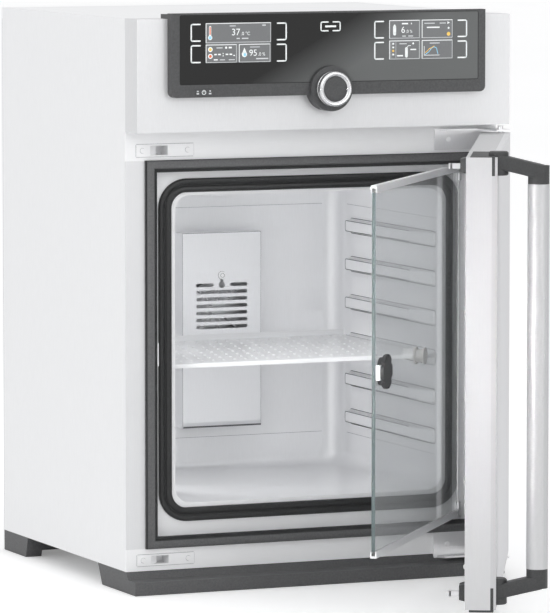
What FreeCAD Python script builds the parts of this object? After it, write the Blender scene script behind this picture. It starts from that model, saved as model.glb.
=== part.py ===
import FreeCAD, Part
import math
import os

import Sketcher

# Laboratory incubator, millimetres. X runs to the right, Y to the back and Z up.
# X = 0 is the middle plane, Y = 0 the front sheet of the casing and Z = 0 the underside of the feet.
# Both doors are built closed and then swung to their open rest place.

Vector = FreeCAD.Vector
Rotation = FreeCAD.Rotation
document = FreeCAD.newDocument("laboratory_incubator")
nodes = []

# ---------------------------------------------------------------- driving sizes

SIZES = {
    # casing
    "casing_width": 559,
    "casing_depth": 477,
    "casing_bottom": 29,
    "casing_top": 787,
    "sheet": 1.5,
    "skirt_height": 16,
    "tongue_overlap": 6,
    "fit_gap": 0.3,
    # mouth of the casing
    "column_width": 39.5,
    "strip_low_tongue": 8.5,
    "strip_top_tongue": 7.5,
    "mouth_depth": 16,
    "strip_low_height": 30.5,
    "strip_top_height": 40.5,
    # chamber
    "flange_side": 40,
    "flange_low": 50,
    "flange_top": 42,
    "rear_space": 119,
    "chamber_edge_radius": 22,
    "chamber_corner_radius": 27,
    "liner_wall": 1.2,
    "heater_thickness": 2,
    "heater_margin": 40,
    "liner_space": 6,
    "rear_board": 82,
    # ribs that carry the shelves
    "rib_first_height": 82.4,
    "rib_pitch": 55.7,
    "rib_headroom": 40,
    "rib_height": 20.6,
    "rib_reach": 9,
    "rib_bevel": 4.5,
    "rib_front": 36,
    "rib_rear_gap": 38,
    "rib_facet": 16,
    # seals
    "outer_seal_lap": 11,
    "outer_seal_top_lap": 0.5,
    "outer_seal_band": 16.5,
    "outer_seal_flat": 8,
    "outer_seal_height": 10.2,
    "outer_seal_slope": 5,
    "inner_seal_reach": 25,
    "inner_seal_top_reach": 23,
    "inner_seal_band": 19,
    "inner_seal_radius": 41,
    "inner_seal_height": 5,
    # fan and sensors in the chamber's back
    "fan_cover_width": 122.6,
    "fan_cover_lift": 64.5,
    "fan_cover_chin_height": 7.5,
    "fan_cover_headroom": 79,
    "fan_cover_depth": 32,
    "fan_cover_chin": 7,
    "fan_cover_wall": 1,
    "intake_width": 104,
    "intake_depth": 18,
    "slot_width": 80,
    "slot_height": 5.2,
    "slot_pitch": 10.1,
    "slot_lift": 145.2,
    "slot_top_gap": 26,
    "keyhole_radius": 4.9,
    "keyhole_neck": 5,
    "keyhole_rise": 13.8,
    "cover_screw_head": 3.25,
    "cover_screw_washer": 5.5,
    "cover_screw_thickness": 1.4,
    "fan_lift": 167.5,
    "fan_radius": 44,
    "fan_hub_radius": 12,
    "fan_blade_thickness": 1.6,
    "fan_depth": 14,
    "fan_gap": 8,
    "shaft_radius": 3,
    "shaft_fit": 0.05,
    "shaft_hole_gap": 2,
    "motor_radius": 34,
    "motor_length": 52,
    "motor_stand_off": 6,
    "motor_post_radius": 3.5,
    "motor_post_circle": 27,
    "shaft_engagement": 18,
    "probe_x": 44,
    "probe_drop": 24,
    "probe_radius": 2.5,
    "gas_probe_x": -40,
    "gas_probe_lift": 31.5,
    "gas_probe_radius": 6,
    "probe_reach": 22,
    "probe_head_extra": 5,
    "probe_head_length": 24,
    # shelf
    "shelf_sheet": 1.5,
    "shelf_lift": 0.4,
    "shelf_front": 28,
    "shelf_rib_lap": 0.3,
    "shelf_front_gap": 1.7,
    "shelf_lip": 6,
    "shelf_rear_gap": 0.5,
    "shelf_rear_rise": 9.3,
    # front cover and cockpit
    "cover_height": 154,
    "cover_depth": 44,
    "cockpit_side": 44.5,
    "cockpit_drop": 106.5,
    "cockpit_rise": 7.5,
    "cockpit_radius": 8,
    "cockpit_depth": 14,
    "cockpit_wall": 3,
    "cockpit_rim": 7,
    "cockpit_wrap_back": 20,
    "cockpit_wrap_height": 6,
    "glass_left_rim": 13,
    "glass_right_rim": 11.5,
    "glass_low_rim": 18,
    "glass_top_rim": 3,
    "glass_thickness": 3,
    "display_inner": 88.4,
    "display_outer": 184.8,
    "display_lift": 28.5,
    "display_headroom": 10.5,
    "board_gap": 4,
    "board_thickness": 1.6,
    "board_width": 390,
    "board_margin": 3,
    "knob_lift": 8.5,
    "knob_base_radius": 31,
    "knob_base_rise": 6,
    "knob_recess": 2.3,
    "knob_radius": 24,
    "knob_cap_radius": 17,
    "knob_cap_gap": 0.1,
    "knob_length": 14,
    "knob_seat_gap": 0.4,
    "knob_shaft_grip": 6,
    "knob_shaft_length": 17,
    "encoder_nose_radius": 6,
    "encoder_size": 18,
    "power_key_side": 35,
    "power_key_width": 25,
    "power_key_lift": 2.5,
    "power_key_height": 8.5,
    "power_key_proud": 0.5,
    "power_key_depth": 6,
    "power_key_travel": 1.5,
    # catches of the outer door on the casing
    "strike_inset": 16,
    "strike_width": 84.5,
    "strike_sheet": 1,
    "strike_top_lift": 5.5,
    "strike_top_height": 17,
    "strike_low_lift": 7,
    "strike_low_height": 15.5,
    "strike_window_left_room": 15.4,
    "strike_window_right_room": 7.6,
    "strike_window_rim": 2,
    "strike_nose_gap": 1.3,
    "strike_tongue_depth": 7,
    "strike_pocket_depth": 24,
    "strike_screw_inset": 9,
    "plate_screw_radius": 3.35,
    "plate_screw_head": 1.6,
    # hinges of the outer door
    "hinge_inset": 11,
    "hinge_y": -38,
    "hinge_pin_radius": 3.9,
    "hinge_pin_fit": 0.1,
    "hinge_pin_grip": 26,
    "hinge_pin_head": 5,
    "bracket_sheet": 2,
    "bracket_flange": 2.5,
    "bracket_width": 95.5,
    "bracket_flange_inset": 6,
    "bracket_shallow": 12,
    "bracket_bevel": 8,
    "bracket_ear": 11,
    "bracket_top_lift": 4.5,
    "bracket_low_height": 30,
    "bracket_clearance": 2.5,
    "bracket_screw_inset": 21,
    # outer door
    "door_open_angle": 62.4,
    "door_low_gap": 2,
    "door_top_gap": 12,
    "door_back": -10.5,
    "door_seam": -44,
    "door_front": -51.3,
    "door_sheet": 1.5,
    "door_heater_thickness": 1.5,
    "door_heater_lift": 89,
    "door_heater_headroom": 81,
    "door_hinge_block": 24,
    "door_hinge_block_height": 32,
    "cap_length": 110,
    "cap_depth_back": -16,
    "cap_front": -48,
    "cap_sheet": 3,
    "cap_top_rise": 1,
    "cap_low_drop": 3,
    "cap_leg_top_height": 24,
    "cap_leg_low_height": 29,
    "stud_radius": 4,
    "stud_height": 2.2,
    "stud_inset": 14,
    "stud_lift": 55,
    "stud_pitch": 110.7,
    # handle of the outer door
    "handle_inset": 19.5,
    "handle_y": -52,
    "handle_reach": 52,
    "handle_hub_radius": 13,
    "handle_hub_gap": 0.5,
    "hub_top_drop": 24,
    "hub_top_rise": 7,
    "hub_low_lift": 6,
    "hub_low_height": 34,
    "handle_arm_width": 22,
    "handle_arm_height": 18,
    "handle_arm_slope": 13.4,
    "arm_top_drop": 1,
    "arm_low_lift": 14,
    "handle_arm_start": 3,
    "handle_elbow_radius": 14,
    "handle_tube_radius": 14.25,
    "handle_tube_wall": 1.5,
    "tube_lift": 53,
    "tube_drop": 35,
    "handle_pin_radius": 4,
    "handle_pin_fit": 0.06,
    "handle_pin_length": 12,
    "handle_block_side": 30,
    "handle_block_back": -38,
    "handle_block_height": 16,
    "hook_offset": 31.4,
    "hook_width": 4,
    "hook_nose": 2.4,
    "hook_tip": 14,
    "hook_thickness": 7,
    "hook_low_lift": 9,
    "hook_bar_back": -38,
    "hook_bar_front": -44,
    "hook_slot_left_room": 5.4,
    "hook_slot_right_room": 9.6,
    "hook_slot_gap": 2,
    "guide_left_side": 6,
    "guide_right_side": 6,
    "guide_height": 9,
    "guide_taper": 2,
    "guide_top_low_side": 9.5,
    "guide_top_high_side": 11.5,
    "guide_low_low_side": 9,
    "guide_low_high_side": 14,
    # glass door
    "glass_hinge_inset": 14.8,
    "glass_hinge_y": 8.1,
    "glass_open_angle": 50.6,
    "glass_door_gap": 8.2,
    "glass_door_low_gap": 12,
    "glass_door_top_gap": 9.2,
    "pane_thickness": 5,
    "pane_start": 5,
    "channel_start": 14.5,
    "channel_thickness": 8.6,
    "channel_height": 9.5,
    "channel_lap": 6,
    "clamp_height": 10,
    "clamp_low_lift": 10,
    "clamp_top_drop": 12.3,
    "clamp_thickness": 10.2,
    "clamp_radius": 5,
    "clamp_grip": 10.5,
    "post_pin_radius": 3,
    "post_pin_fit": 0.05,
    "post_pin_grip": 8,
    "post_width": 9,
    "post_front": 4.6,
    "post_foot": 2,
    "latch_inset": 23,
    "latch_lift": 247.5,
    "latch_disc_radius": 23.2,
    "latch_disc_front": 14,
    "latch_disc_thickness": 5,
    "latch_notch": 7,
    "latch_boss_radius": 18.8,
    "latch_boss_seat": 3,
    "latch_spindle_radius": 4,
    "latch_hole_gap": 0.3,
    "latch_tongue_gap": 0.3,
    "latch_tongue_height": 20,
    "latch_tongue_front": 8.8,
    "latch_tongue_back": 2.8,
    "port_inset": 209.5,
    "port_lift": 3,
    "port_radius": 9,
    "port_rib_radius": 11.6,
    "port_rib_thickness": 2.5,
    "port_front": 17,
    "keeper_gap": 5.8,
    "keeper_sheet": 1.5,
    "keeper_nub": 0.3,
    "keeper_front": -4,
    "keeper_low_side": 16.5,
    "keeper_high_side": 15.5,
    # equipment above the chamber
    "supply_left": 80,
    "supply_width": 150,
    "supply_rear_space": 297,
    "supply_depth": 220,
    "supply_height": 62,
    "valve_left": -200,
    "valve_width": 46,
    "valve_rear_space": 117,
    "valve_depth": 70,
    "valve_height": 44,
    "valve_coil_radius": 14,
    "valve_coil_height": 34,
    "pump_x": -60,
    "pump_rear_space": 97,
    "pump_radius": 26,
    "pump_base": 60,
    "pump_base_height": 24,
    "pump_body_height": 48,
    # feet
    "foot_front": -34,
    "foot_step": -8,
    "foot_step_top": 19,
    "foot_nose_top": 18,
    "foot_lean": 0.7,
    "foot_base_back": 90,
    "foot_back": 106,
    "rear_foot_depth": 96.4,
    "rear_foot_base_depth": 88,
    "rear_foot_pad": 24,
    "rear_foot_bar_bottom": 9,
    # connections at the back
    "inlet_left": 180,
    "inlet_width": 50,
    "inlet_drop": 97,
    "inlet_height": 30,
    "inlet_proud": 4,
    "inlet_wall": 4,
    "inlet_depth": 22,
    "inlet_well": 14,
    "inlet_pin_radius": 2,
    "inlet_pin_pitch": 14,
    "nozzle_inset": 69.5,
    "nozzle_pitch": 40,
    "nozzle_drop": 137,
    "nozzle_radius": 4,
    "nozzle_bore": 1.5,
    "nozzle_length": 22,
    "nozzle_flange_radius": 9,
    "nozzle_flange": 3,
    "nozzle_barb": 1,
    "vent_left": -60,
    "vent_width": 120,
    "vent_drop": 87,
    "vent_height": 44,
    "vent_proud": 2,
    "vent_slot_height": 3,
    "vent_slot_pitch": 7,
    "vent_margin": 8,
}

# ---------------------------------------------------------------- sizes in expressions


class Size:
    """A length or angle: the expression over the sheet that gives it, and its present value."""

    def __init__(self, text, value):
        self.text = text
        self.value = value

    def __add__(self, other):
        other = as_size(other)
        return Size(f"({self.text} + {other.text})", self.value + other.value)

    def __sub__(self, other):
        other = as_size(other)
        return Size(f"({self.text} - {other.text})", self.value - other.value)

    def __mul__(self, other):
        other = as_size(other)
        return Size(f"({self.text} * {other.text})", self.value * other.value)

    def __truediv__(self, other):
        other = as_size(other)
        return Size(f"({self.text} / {other.text})", self.value / other.value)

    def __neg__(self):
        return Size(f"(-{self.text})", -self.value)


def as_size(number):
    """A plain number as a Size."""
    if isinstance(number, Size):
        return number
    return Size(f"({number})", number)


def tangent(angle):
    """The tangent of an angle in degrees."""
    return Size(f"tan({angle.text} * 1 deg)", math.tan(math.radians(angle.value)))


class Measures:
    """Every alias of the sheet as a Size."""


def fill_sheet(sizes):
    """Put each size in a cell of its own, with its name as the alias."""
    sheet = document.addObject("Spreadsheet::Sheet", "size")
    measures = Measures()
    for row, (name, value) in enumerate(sizes.items(), start=1):
        sheet.set(f"A{row}", name)
        sheet.set(f"B{row}", str(value))
        sheet.setAlias(f"B{row}", name)
        setattr(measures, name, Size(f"size.{name}", float(value)))
    document.recompute()
    return measures


s = fill_sheet(SIZES)
zero = as_size(0)

# ---------------------------------------------------------------- places worked out from the sizes

# casing
s.column_bottom = s.casing_bottom + s.strip_low_height
s.cover_bottom = s.casing_top - s.cover_height
s.column_top = s.cover_bottom - s.strip_top_height
s.mouth_bottom = s.column_bottom + s.strip_low_tongue
s.mouth_top = s.column_top - s.strip_top_tongue
s.mouth_width = s.casing_width - s.column_width * 2
# chamber
s.chamber_width = s.mouth_width - s.flange_side * 2
s.chamber_bottom = s.mouth_bottom + s.flange_low
s.chamber_top = s.mouth_top - s.flange_top
s.chamber_back = s.casing_depth - s.rear_space
s.jacket_back = s.chamber_back + s.rear_board
s.rib_first_top = s.chamber_bottom + s.rib_first_height
s.rib_back = s.chamber_back - s.rib_rear_gap
s.outer_seal_width = s.mouth_width + s.outer_seal_lap * 2
s.outer_seal_bottom = s.column_bottom
s.outer_seal_top = s.column_top + s.outer_seal_top_lap
s.inner_seal_width = s.chamber_width + s.inner_seal_reach * 2
s.inner_seal_bottom = s.chamber_bottom - s.inner_seal_reach
s.inner_seal_top = s.chamber_top + s.inner_seal_top_reach
# fan and shelf
s.fan_cover_bottom = s.chamber_bottom + s.fan_cover_lift
s.fan_cover_face_bottom = s.fan_cover_bottom + s.fan_cover_chin_height
s.fan_cover_top = s.chamber_top - s.fan_cover_headroom
s.slot_lowest = s.fan_cover_bottom + s.slot_lift
s.fan_height = s.fan_cover_bottom + s.fan_lift
s.probe_z = s.fan_cover_top - s.probe_drop
s.gas_probe_z = s.fan_cover_bottom + s.gas_probe_lift
s.shelf_width = s.chamber_width - (s.rib_reach - s.shelf_rib_lap) * 2
s.shelf_front_width = s.chamber_width - s.shelf_front_gap * 2
s.shelf_rear = s.chamber_back - s.fan_cover_depth - s.shelf_rear_gap
# cockpit
s.cockpit_width = s.casing_width - s.cockpit_side * 2
s.cockpit_bottom = s.casing_top - s.cockpit_drop
s.cockpit_top = s.casing_top + s.cockpit_rise
s.cockpit_wrap_top = s.casing_top + s.cockpit_wrap_height
s.glass_left = s.glass_left_rim - s.cockpit_width / 2
s.glass_right = s.cockpit_width / 2 - s.glass_right_rim
s.glass_bottom = s.cockpit_bottom + s.glass_low_rim
s.glass_top = s.cockpit_top - s.glass_top_rim
s.display_bottom = s.glass_bottom + s.display_lift
s.display_top = s.glass_top - s.display_headroom
s.board_bottom = s.display_bottom - s.board_margin
s.board_top = s.display_top + s.board_margin
s.knob_height = s.cockpit_bottom + s.knob_lift
s.power_key_left = s.power_key_side - s.cockpit_width / 2
s.power_key_right = s.power_key_left + s.power_key_width
s.power_key_bottom = s.cockpit_bottom + s.power_key_lift
s.power_key_top = s.power_key_bottom + s.power_key_height
# outer door and its handle
s.hinge_x = s.casing_width / 2 - s.hinge_inset
s.door_bottom = s.casing_bottom + s.door_low_gap
s.door_top = s.cover_bottom - s.door_top_gap
s.handle_x = s.handle_inset - s.casing_width / 2
s.hook_left = s.handle_x + s.hook_offset
s.hook_right = s.hook_left + s.hook_width
s.hook_slot_left = s.hook_left - s.hook_slot_left_room
s.hook_slot_right = s.hook_right + s.hook_slot_right_room
s.guide_left = s.hook_slot_left - s.guide_left_side
s.guide_right = s.hook_slot_right + s.guide_right_side
s.strike_left = s.strike_inset - s.casing_width / 2
s.strike_right = s.strike_left + s.strike_width
s.strike_window_left = s.hook_left - s.strike_window_left_room
s.strike_window_right = s.hook_right + s.strike_window_right_room
s.strike_tongue_right = s.hook_left - s.hook_nose - s.strike_nose_gap
s.strike_top_bottom = s.column_top + s.strike_top_lift
s.strike_top_top = s.strike_top_bottom + s.strike_top_height
s.strike_low_bottom = s.casing_bottom + s.strike_low_lift
s.strike_low_top = s.strike_low_bottom + s.strike_low_height
s.hook_top_z = s.strike_top_bottom + s.strike_top_height / 2
s.hook_low_z = s.strike_low_bottom + s.hook_low_lift
s.guide_top_bottom = s.hook_top_z - s.guide_top_low_side
s.guide_top_top = s.hook_top_z + s.guide_top_high_side
s.guide_low_bottom = s.hook_low_z - s.guide_low_low_side
s.guide_low_top = s.hook_low_z + s.guide_low_high_side
s.bracket_left = s.casing_width / 2 - s.bracket_width
s.bracket_flange_left = s.bracket_left + s.bracket_flange_inset
s.bracket_screw_x = s.bracket_left + s.bracket_screw_inset
s.bracket_top_bottom = s.column_top + s.bracket_top_lift
s.bracket_low_top = s.casing_bottom + s.bracket_low_height
s.door_heater_width = s.chamber_width
s.door_heater_bottom = s.door_bottom + s.door_heater_lift
s.door_heater_top = s.door_top - s.door_heater_headroom
s.cap_leg_top = s.door_top - s.cap_leg_top_height
s.cap_leg_low = s.door_bottom + s.cap_leg_low_height
s.stud_lowest = s.door_bottom + s.stud_lift
s.handle_hub_top_low = s.door_top - s.hub_top_drop
s.handle_hub_top_high = s.door_top + s.hub_top_rise
s.handle_hub_low_low = s.door_bottom + s.hub_low_lift
s.handle_hub_low_high = s.handle_hub_low_low + s.hub_low_height
s.handle_arm_top = s.door_top - s.arm_top_drop
s.handle_arm_low = s.door_bottom + s.arm_low_lift
s.handle_tube_bottom = s.door_bottom + s.tube_lift
s.handle_tube_top = s.door_top - s.tube_drop
# glass door
s.glass_hinge_x = s.mouth_width / 2 - s.glass_hinge_inset
s.glass_door_reach = s.glass_hinge_x + s.mouth_width / 2 - s.glass_door_gap
s.glass_door_bottom = s.mouth_bottom + s.glass_door_low_gap
s.glass_door_top = s.mouth_top - s.glass_door_top_gap
s.clamp_low = s.glass_door_bottom + s.clamp_low_lift
s.clamp_top = s.glass_door_top - s.clamp_top_drop
s.latch_reach = s.glass_door_reach - s.latch_inset
s.latch_tongue_reach = s.glass_door_reach - s.latch_tongue_gap
s.latch_z = s.glass_door_bottom + s.latch_lift
s.port_reach = s.glass_door_reach - s.port_inset
s.port_z = s.latch_z + s.port_lift
s.keeper_left = s.keeper_gap - s.mouth_width / 2
s.keeper_bottom = s.latch_z - s.keeper_low_side
s.keeper_top = s.latch_z + s.keeper_high_side
# equipment, feet and connections
s.supply_front = s.casing_depth - s.supply_rear_space
s.valve_front = s.casing_depth - s.valve_rear_space
s.pump_y = s.casing_depth - s.pump_rear_space
s.rear_foot_front = s.casing_depth - s.rear_foot_depth
s.rear_foot_base_front = s.casing_depth - s.rear_foot_base_depth
s.inlet_bottom = s.casing_top - s.inlet_drop
s.nozzle_x = s.nozzle_inset - s.casing_width / 2
s.nozzle_z = s.casing_top - s.nozzle_drop
s.vent_bottom = s.casing_top - s.vent_drop

# ---------------------------------------------------------------- building blocks

TURN_TO_AXIS = {
    "x": Rotation(Vector(0, 1, 0), 90),
    "y": Rotation(Vector(1, 0, 0), -90),
    "z": Rotation(),
}
PLANE_SIGN = {"XY_Plane": 1, "XZ_Plane": -1, "YZ_Plane": 1}


def bind(thing, name, measure):
    """Tie a property to an expression over the sheet."""
    thing.setExpression(name, as_size(measure).text)


def box(name, x, y, z):
    """A block between two planes on each axis."""
    block = document.addObject("Part::Box", name)
    for side, (low, high) in zip(("Length", "Width", "Height"), (x, y, z)):
        bind(block, side, as_size(high) - low)
    for axis, (low, high) in zip("xyz", (x, y, z)):
        bind(block, f"Placement.Base.{axis}", low)
    return block


def place_along(thing, axis, at, low):
    """Stand a round solid on its axis: at holds its place on the other two axes."""
    thing.Placement = FreeCAD.Placement(Vector(), TURN_TO_AXIS[axis])
    others = [other for other in "xyz" if other != axis]
    for other, value in zip(others, at):
        bind(thing, f"Placement.Base.{other}", value)
    bind(thing, f"Placement.Base.{axis}", low)


def rod(name, axis, at, radius, low, high):
    """A cylinder along one axis."""
    cylinder = document.addObject("Part::Cylinder", name)
    bind(cylinder, "Radius", radius)
    bind(cylinder, "Height", as_size(high) - low)
    place_along(cylinder, axis, at, low)
    return cylinder


def taper(name, axis, at, radii, low, high):
    """A cone along one axis, with a radius at each end."""
    cone = document.addObject("Part::Cone", name)
    bind(cone, "Radius1", radii[0])
    bind(cone, "Radius2", radii[1])
    bind(cone, "Height", as_size(high) - low)
    place_along(cone, axis, at, low)
    return cone


def frustum(name, x, y, z, x_back, z_back):
    """A block along Y whose front face x by z tapers to x_back by z_back."""
    wedge = document.addObject("Part::Wedge", name)
    limits = {"Xmin": x[0], "Xmax": x[1], "Ymin": y[0], "Ymax": y[1], "Zmin": z[0], "Zmax": z[1]}
    limits.update({"X2min": x_back[0], "X2max": x_back[1], "Z2min": z_back[0], "Z2max": z_back[1]})
    for name_of_limit, value in limits.items():
        bind(wedge, name_of_limit, value)
    return wedge


def fuse(name, pieces):
    """One solid of several."""
    union = document.addObject("Part::MultiFuse", name)
    union.Shapes = pieces
    union.Refine = True
    return union


def cut(name, base, tools):
    """A solid less its tools."""
    remainder = document.addObject("Part::Cut", name)
    remainder.Base = base
    remainder.Tool = tools[0] if len(tools) == 1 else fuse(name + "_tools", tools)
    remainder.Refine = True
    return remainder


def common(name, first, second):
    """What two solids share."""
    shared = document.addObject("Part::Common", name)
    shared.Base = first
    shared.Tool = second
    return shared


def group(name, pieces):
    """Separate solids kept as one sub-part."""
    compound = document.addObject("Part::Compound", name)
    compound.Links = pieces
    return compound


def node(label, thing, placement=None):
    """Register a finished sub-part under its own label, with a placement where it is swung."""
    thing.Label = label
    if placement is not None:
        thing.setExpression("Placement", placement)
    nodes.append(thing)
    return thing


def set_point(sketch, kind, geometry, position, value):
    """Tie one coordinate of a sketch point to the sheet."""
    index = sketch.addConstraint(Sketcher.Constraint(kind, -1, 1, geometry, position, value.value))
    sketch.setExpression(f"Constraints[{index}]", value.text)


def draw_polygon(sketch, points):
    """A closed outline of straight lines through the points."""
    first = sketch.GeometryCount
    places = [Vector(as_size(u).value, as_size(v).value, 0) for u, v in points]
    count = len(points)
    for index in range(count):
        sketch.addGeometry(Part.LineSegment(places[index], places[(index + 1) % count]))
    for index in range(count):
        following = first + (index + 1) % count
        sketch.addConstraint(Sketcher.Constraint("Coincident", first + index, 2, following, 1))
    for index, (u, v) in enumerate(points):
        set_point(sketch, "DistanceX", first + index, 1, as_size(u))
        set_point(sketch, "DistanceY", first + index, 1, as_size(v))


def draw_rounded(sketch, u, v, radius):
    """A rectangle between u and v limits, with its four corners rounded."""
    first = sketch.GeometryCount
    low_u, high_u = (as_size(limit).value for limit in u)
    low_v, high_v = (as_size(limit).value for limit in v)
    r = as_size(radius).value
    quarter = math.pi / 2
    corners = [
        (high_u - r, low_v + r, -quarter),
        (high_u - r, high_v - r, 0),
        (low_u + r, high_v - r, quarter),
        (low_u + r, low_v + r, 2 * quarter),
    ]
    lines = [
        (low_u + r, low_v, high_u - r, low_v),
        (high_u, low_v + r, high_u, high_v - r),
        (high_u - r, high_v, low_u + r, high_v),
        (low_u, high_v - r, low_u, low_v + r),
    ]
    for line, (centre_u, centre_v, start) in zip(lines, corners):
        sketch.addGeometry(Part.LineSegment(Vector(line[0], line[1], 0), Vector(line[2], line[3], 0)))
        circle = Part.Circle(Vector(centre_u, centre_v, 0), Vector(0, 0, 1), r)
        sketch.addGeometry(Part.ArcOfCircle(circle, start, start + quarter))
    count = 2 * len(lines)
    for index in range(count):
        following = first + (index + 1) % count
        sketch.addConstraint(Sketcher.Constraint("Tangent", first + index, 2, following, 1))
    for index in (0, 4):
        sketch.addConstraint(Sketcher.Constraint("Horizontal", first + index))
    for index in (2, 6):
        sketch.addConstraint(Sketcher.Constraint("Vertical", first + index))
    for index in (3, 5, 7):
        sketch.addConstraint(Sketcher.Constraint("Equal", first + 1, first + index))
    index = sketch.addConstraint(Sketcher.Constraint("Radius", first + 1, r))
    sketch.setExpression(f"Constraints[{index}]", as_size(radius).text)
    set_point(sketch, "DistanceX", first + 6, 1, as_size(u[0]))
    set_point(sketch, "DistanceX", first + 2, 1, as_size(u[1]))
    set_point(sketch, "DistanceY", first, 1, as_size(v[0]))
    set_point(sketch, "DistanceY", first + 4, 1, as_size(v[1]))


def padded(name, plane, low, high, polygon=None, rounded=()):
    """A body padded from a sketch: a polygon, or one or two rounded rectangles, the second a hole."""
    body = document.addObject("PartDesign::Body", name)
    sketch = body.newObject("Sketcher::SketchObject", name + "_sketch")
    sketch.AttachmentSupport = [(next(f for f in body.Origin.OriginFeatures if f.Role == plane), "")]
    sketch.MapMode = "FlatFace"
    start = as_size(low) if PLANE_SIGN[plane] > 0 else -as_size(high)
    sketch.setExpression("AttachmentOffset.Base.z", start.text)
    if polygon:
        draw_polygon(sketch, polygon)
    for u, v, radius in rounded:
        draw_rounded(sketch, u, v, radius)
    pad = body.newObject("PartDesign::Pad", name + "_pad")
    pad.Profile = sketch
    bind(pad, "Length", as_size(high) - low)
    return body


def spread(limits, amount):
    """Both limits moved outwards by an amount."""
    return (as_size(limits[0]) - amount, as_size(limits[1]) + amount)


def swing(angle, x, y):
    """The placement that turns a closed door about its upright hinge axis."""
    return (
        f"placement(vector(0; 0; 0); rotation(vector(0; 0; 1); {angle.text}); "
        f"vector({x.text}; {y.text}; 0))"
    )


def flip(limits):
    """The same limits on the other side of the middle plane."""
    return (-as_size(limits[1]), -as_size(limits[0]))

# ---------------------------------------------------------------- shared places

half = s.casing_width / 2
inside = half - s.sheet
back = s.casing_depth
panel_back = back - s.sheet
whole_x = (-half, half)
skirt_bottom = s.casing_top - s.skirt_height
top_underside = s.casing_top - s.sheet
mouth = (-s.mouth_width / 2, s.mouth_width / 2)
mouth_z = (s.mouth_bottom, s.mouth_top)
chamber_x = (-s.chamber_width / 2, s.chamber_width / 2)
chamber_z = (s.chamber_bottom, s.chamber_top)
flange_back = s.mouth_depth + s.sheet
liner_back = s.chamber_back + s.liner_wall
jacket_x = spread(chamber_x, s.liner_space)
jacket_z = spread(chamber_z, s.liner_space + s.fit_gap)
jacket_inner_back = liner_back + s.liner_space
deck_z = s.column_top
rib_wall = s.chamber_width / 2
door_swing = swing(s.door_open_angle, s.hinge_x, s.hinge_y)
glass_swing = swing(s.glass_open_angle, s.glass_hinge_x, s.glass_hinge_y)

# ---------------------------------------------------------------- casing


def side_panel(name, x, tongue_x):
    """A side sheet whose top edge joggles inwards behind the top cover's skirt."""
    web = box(name + "_web", x, (s.sheet, panel_back), (s.casing_bottom, skirt_bottom))
    tongue_z = (skirt_bottom - s.tongue_overlap, top_underside)
    tongue = box(name + "_tongue", tongue_x, (s.sheet, panel_back), tongue_z)
    return fuse(name + "_whole", [web, tongue])


def front_column(name, x, return_x):
    """A front upright with a return into the mouth of the casing."""
    z = (s.column_bottom, s.column_top)
    face = box(name + "_face", x, (zero, s.sheet), z)
    inward = box(name + "_return", return_x, (zero, s.mouth_depth), z)
    return fuse(name + "_whole", [face, inward])


def front_strip(name, band_z, tongue_z, return_z, windows):
    """A front crosspiece with a tongue between the columns, a return and a window for the catch."""
    band = box(name + "_band", whole_x, (zero, s.sheet), band_z)
    tongue = box(name + "_tongue", mouth, (zero, s.sheet), tongue_z)
    inward = box(name + "_return", mouth, (zero, s.mouth_depth), return_z)
    return cut(name + "_whole", fuse(name + "_sheet", [band, tongue, inward]), windows)


def catch_window(name, strike_z):
    """The hole through the front sheet behind a strike plate."""
    x = (s.strike_window_left, s.strike_window_right)
    return box(name, x, (zero, s.sheet), (strike_z[0] + s.strike_window_rim, strike_z[1] - s.strike_window_rim))


strike_top_z = (s.strike_top_bottom, s.strike_top_top)
strike_low_z = (s.strike_low_bottom, s.strike_low_top)

node("left_side_panel", side_panel("left", (-half, -inside), (-inside, s.sheet - inside)))
node("right_side_panel", side_panel("right", (inside, half), (inside - s.sheet, inside)))

top_shell = box("top_shell", whole_x, (zero, back), (skirt_bottom, s.casing_top))
top_hollow = box("top_hollow", (-inside, inside), (s.sheet, panel_back), (skirt_bottom, top_underside))
node("top_cover", cut("top_whole", top_shell, [top_hollow]))

inlet_z = (s.inlet_bottom, s.inlet_bottom + s.inlet_height)
inlet_x = (s.inlet_left, s.inlet_left + s.inlet_width)
rear_sheet = box("rear_sheet", whole_x, (panel_back, back), (s.casing_bottom, skirt_bottom))
inlet_window = box("inlet_window", inlet_x, (panel_back, back), inlet_z)
vent_x = (s.vent_left, s.vent_left + s.vent_width)
vent_z = (s.vent_bottom, s.vent_bottom + s.vent_height)
vent_window_x = spread(vent_x, -s.vent_margin)
vent_window = box("vent_window", vent_window_x, (panel_back, back), spread(vent_z, -s.vent_margin))
node("rear_panel", cut("rear_whole", rear_sheet, [inlet_window, vent_window]))

base_z = (s.casing_bottom, s.casing_bottom + s.sheet)
node("base_pan", box("base_sheet", (-inside, inside), (s.sheet, panel_back), base_z))

left_return = (mouth[0] - s.sheet, mouth[0])
node("front_columns", group("columns", [
    front_column("column_left", (-half, mouth[0]), left_return),
    front_column("column_right", (mouth[1], half), flip(left_return)),
]))
node("front_strips", group("strips", [
    front_strip(
        "strip_low",
        (s.casing_bottom, s.column_bottom),
        (s.column_bottom, s.mouth_bottom),
        (s.mouth_bottom - s.sheet, s.mouth_bottom),
        [catch_window("strip_low_window", strike_low_z)],
    ),
    front_strip(
        "strip_top",
        (s.column_top, skirt_bottom),
        (s.mouth_top, s.column_top),
        (s.mouth_top, s.mouth_top + s.sheet),
        [catch_window("strip_top_window", strike_top_z)],
    ),
]))

# ---------------------------------------------------------------- chamber

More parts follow.
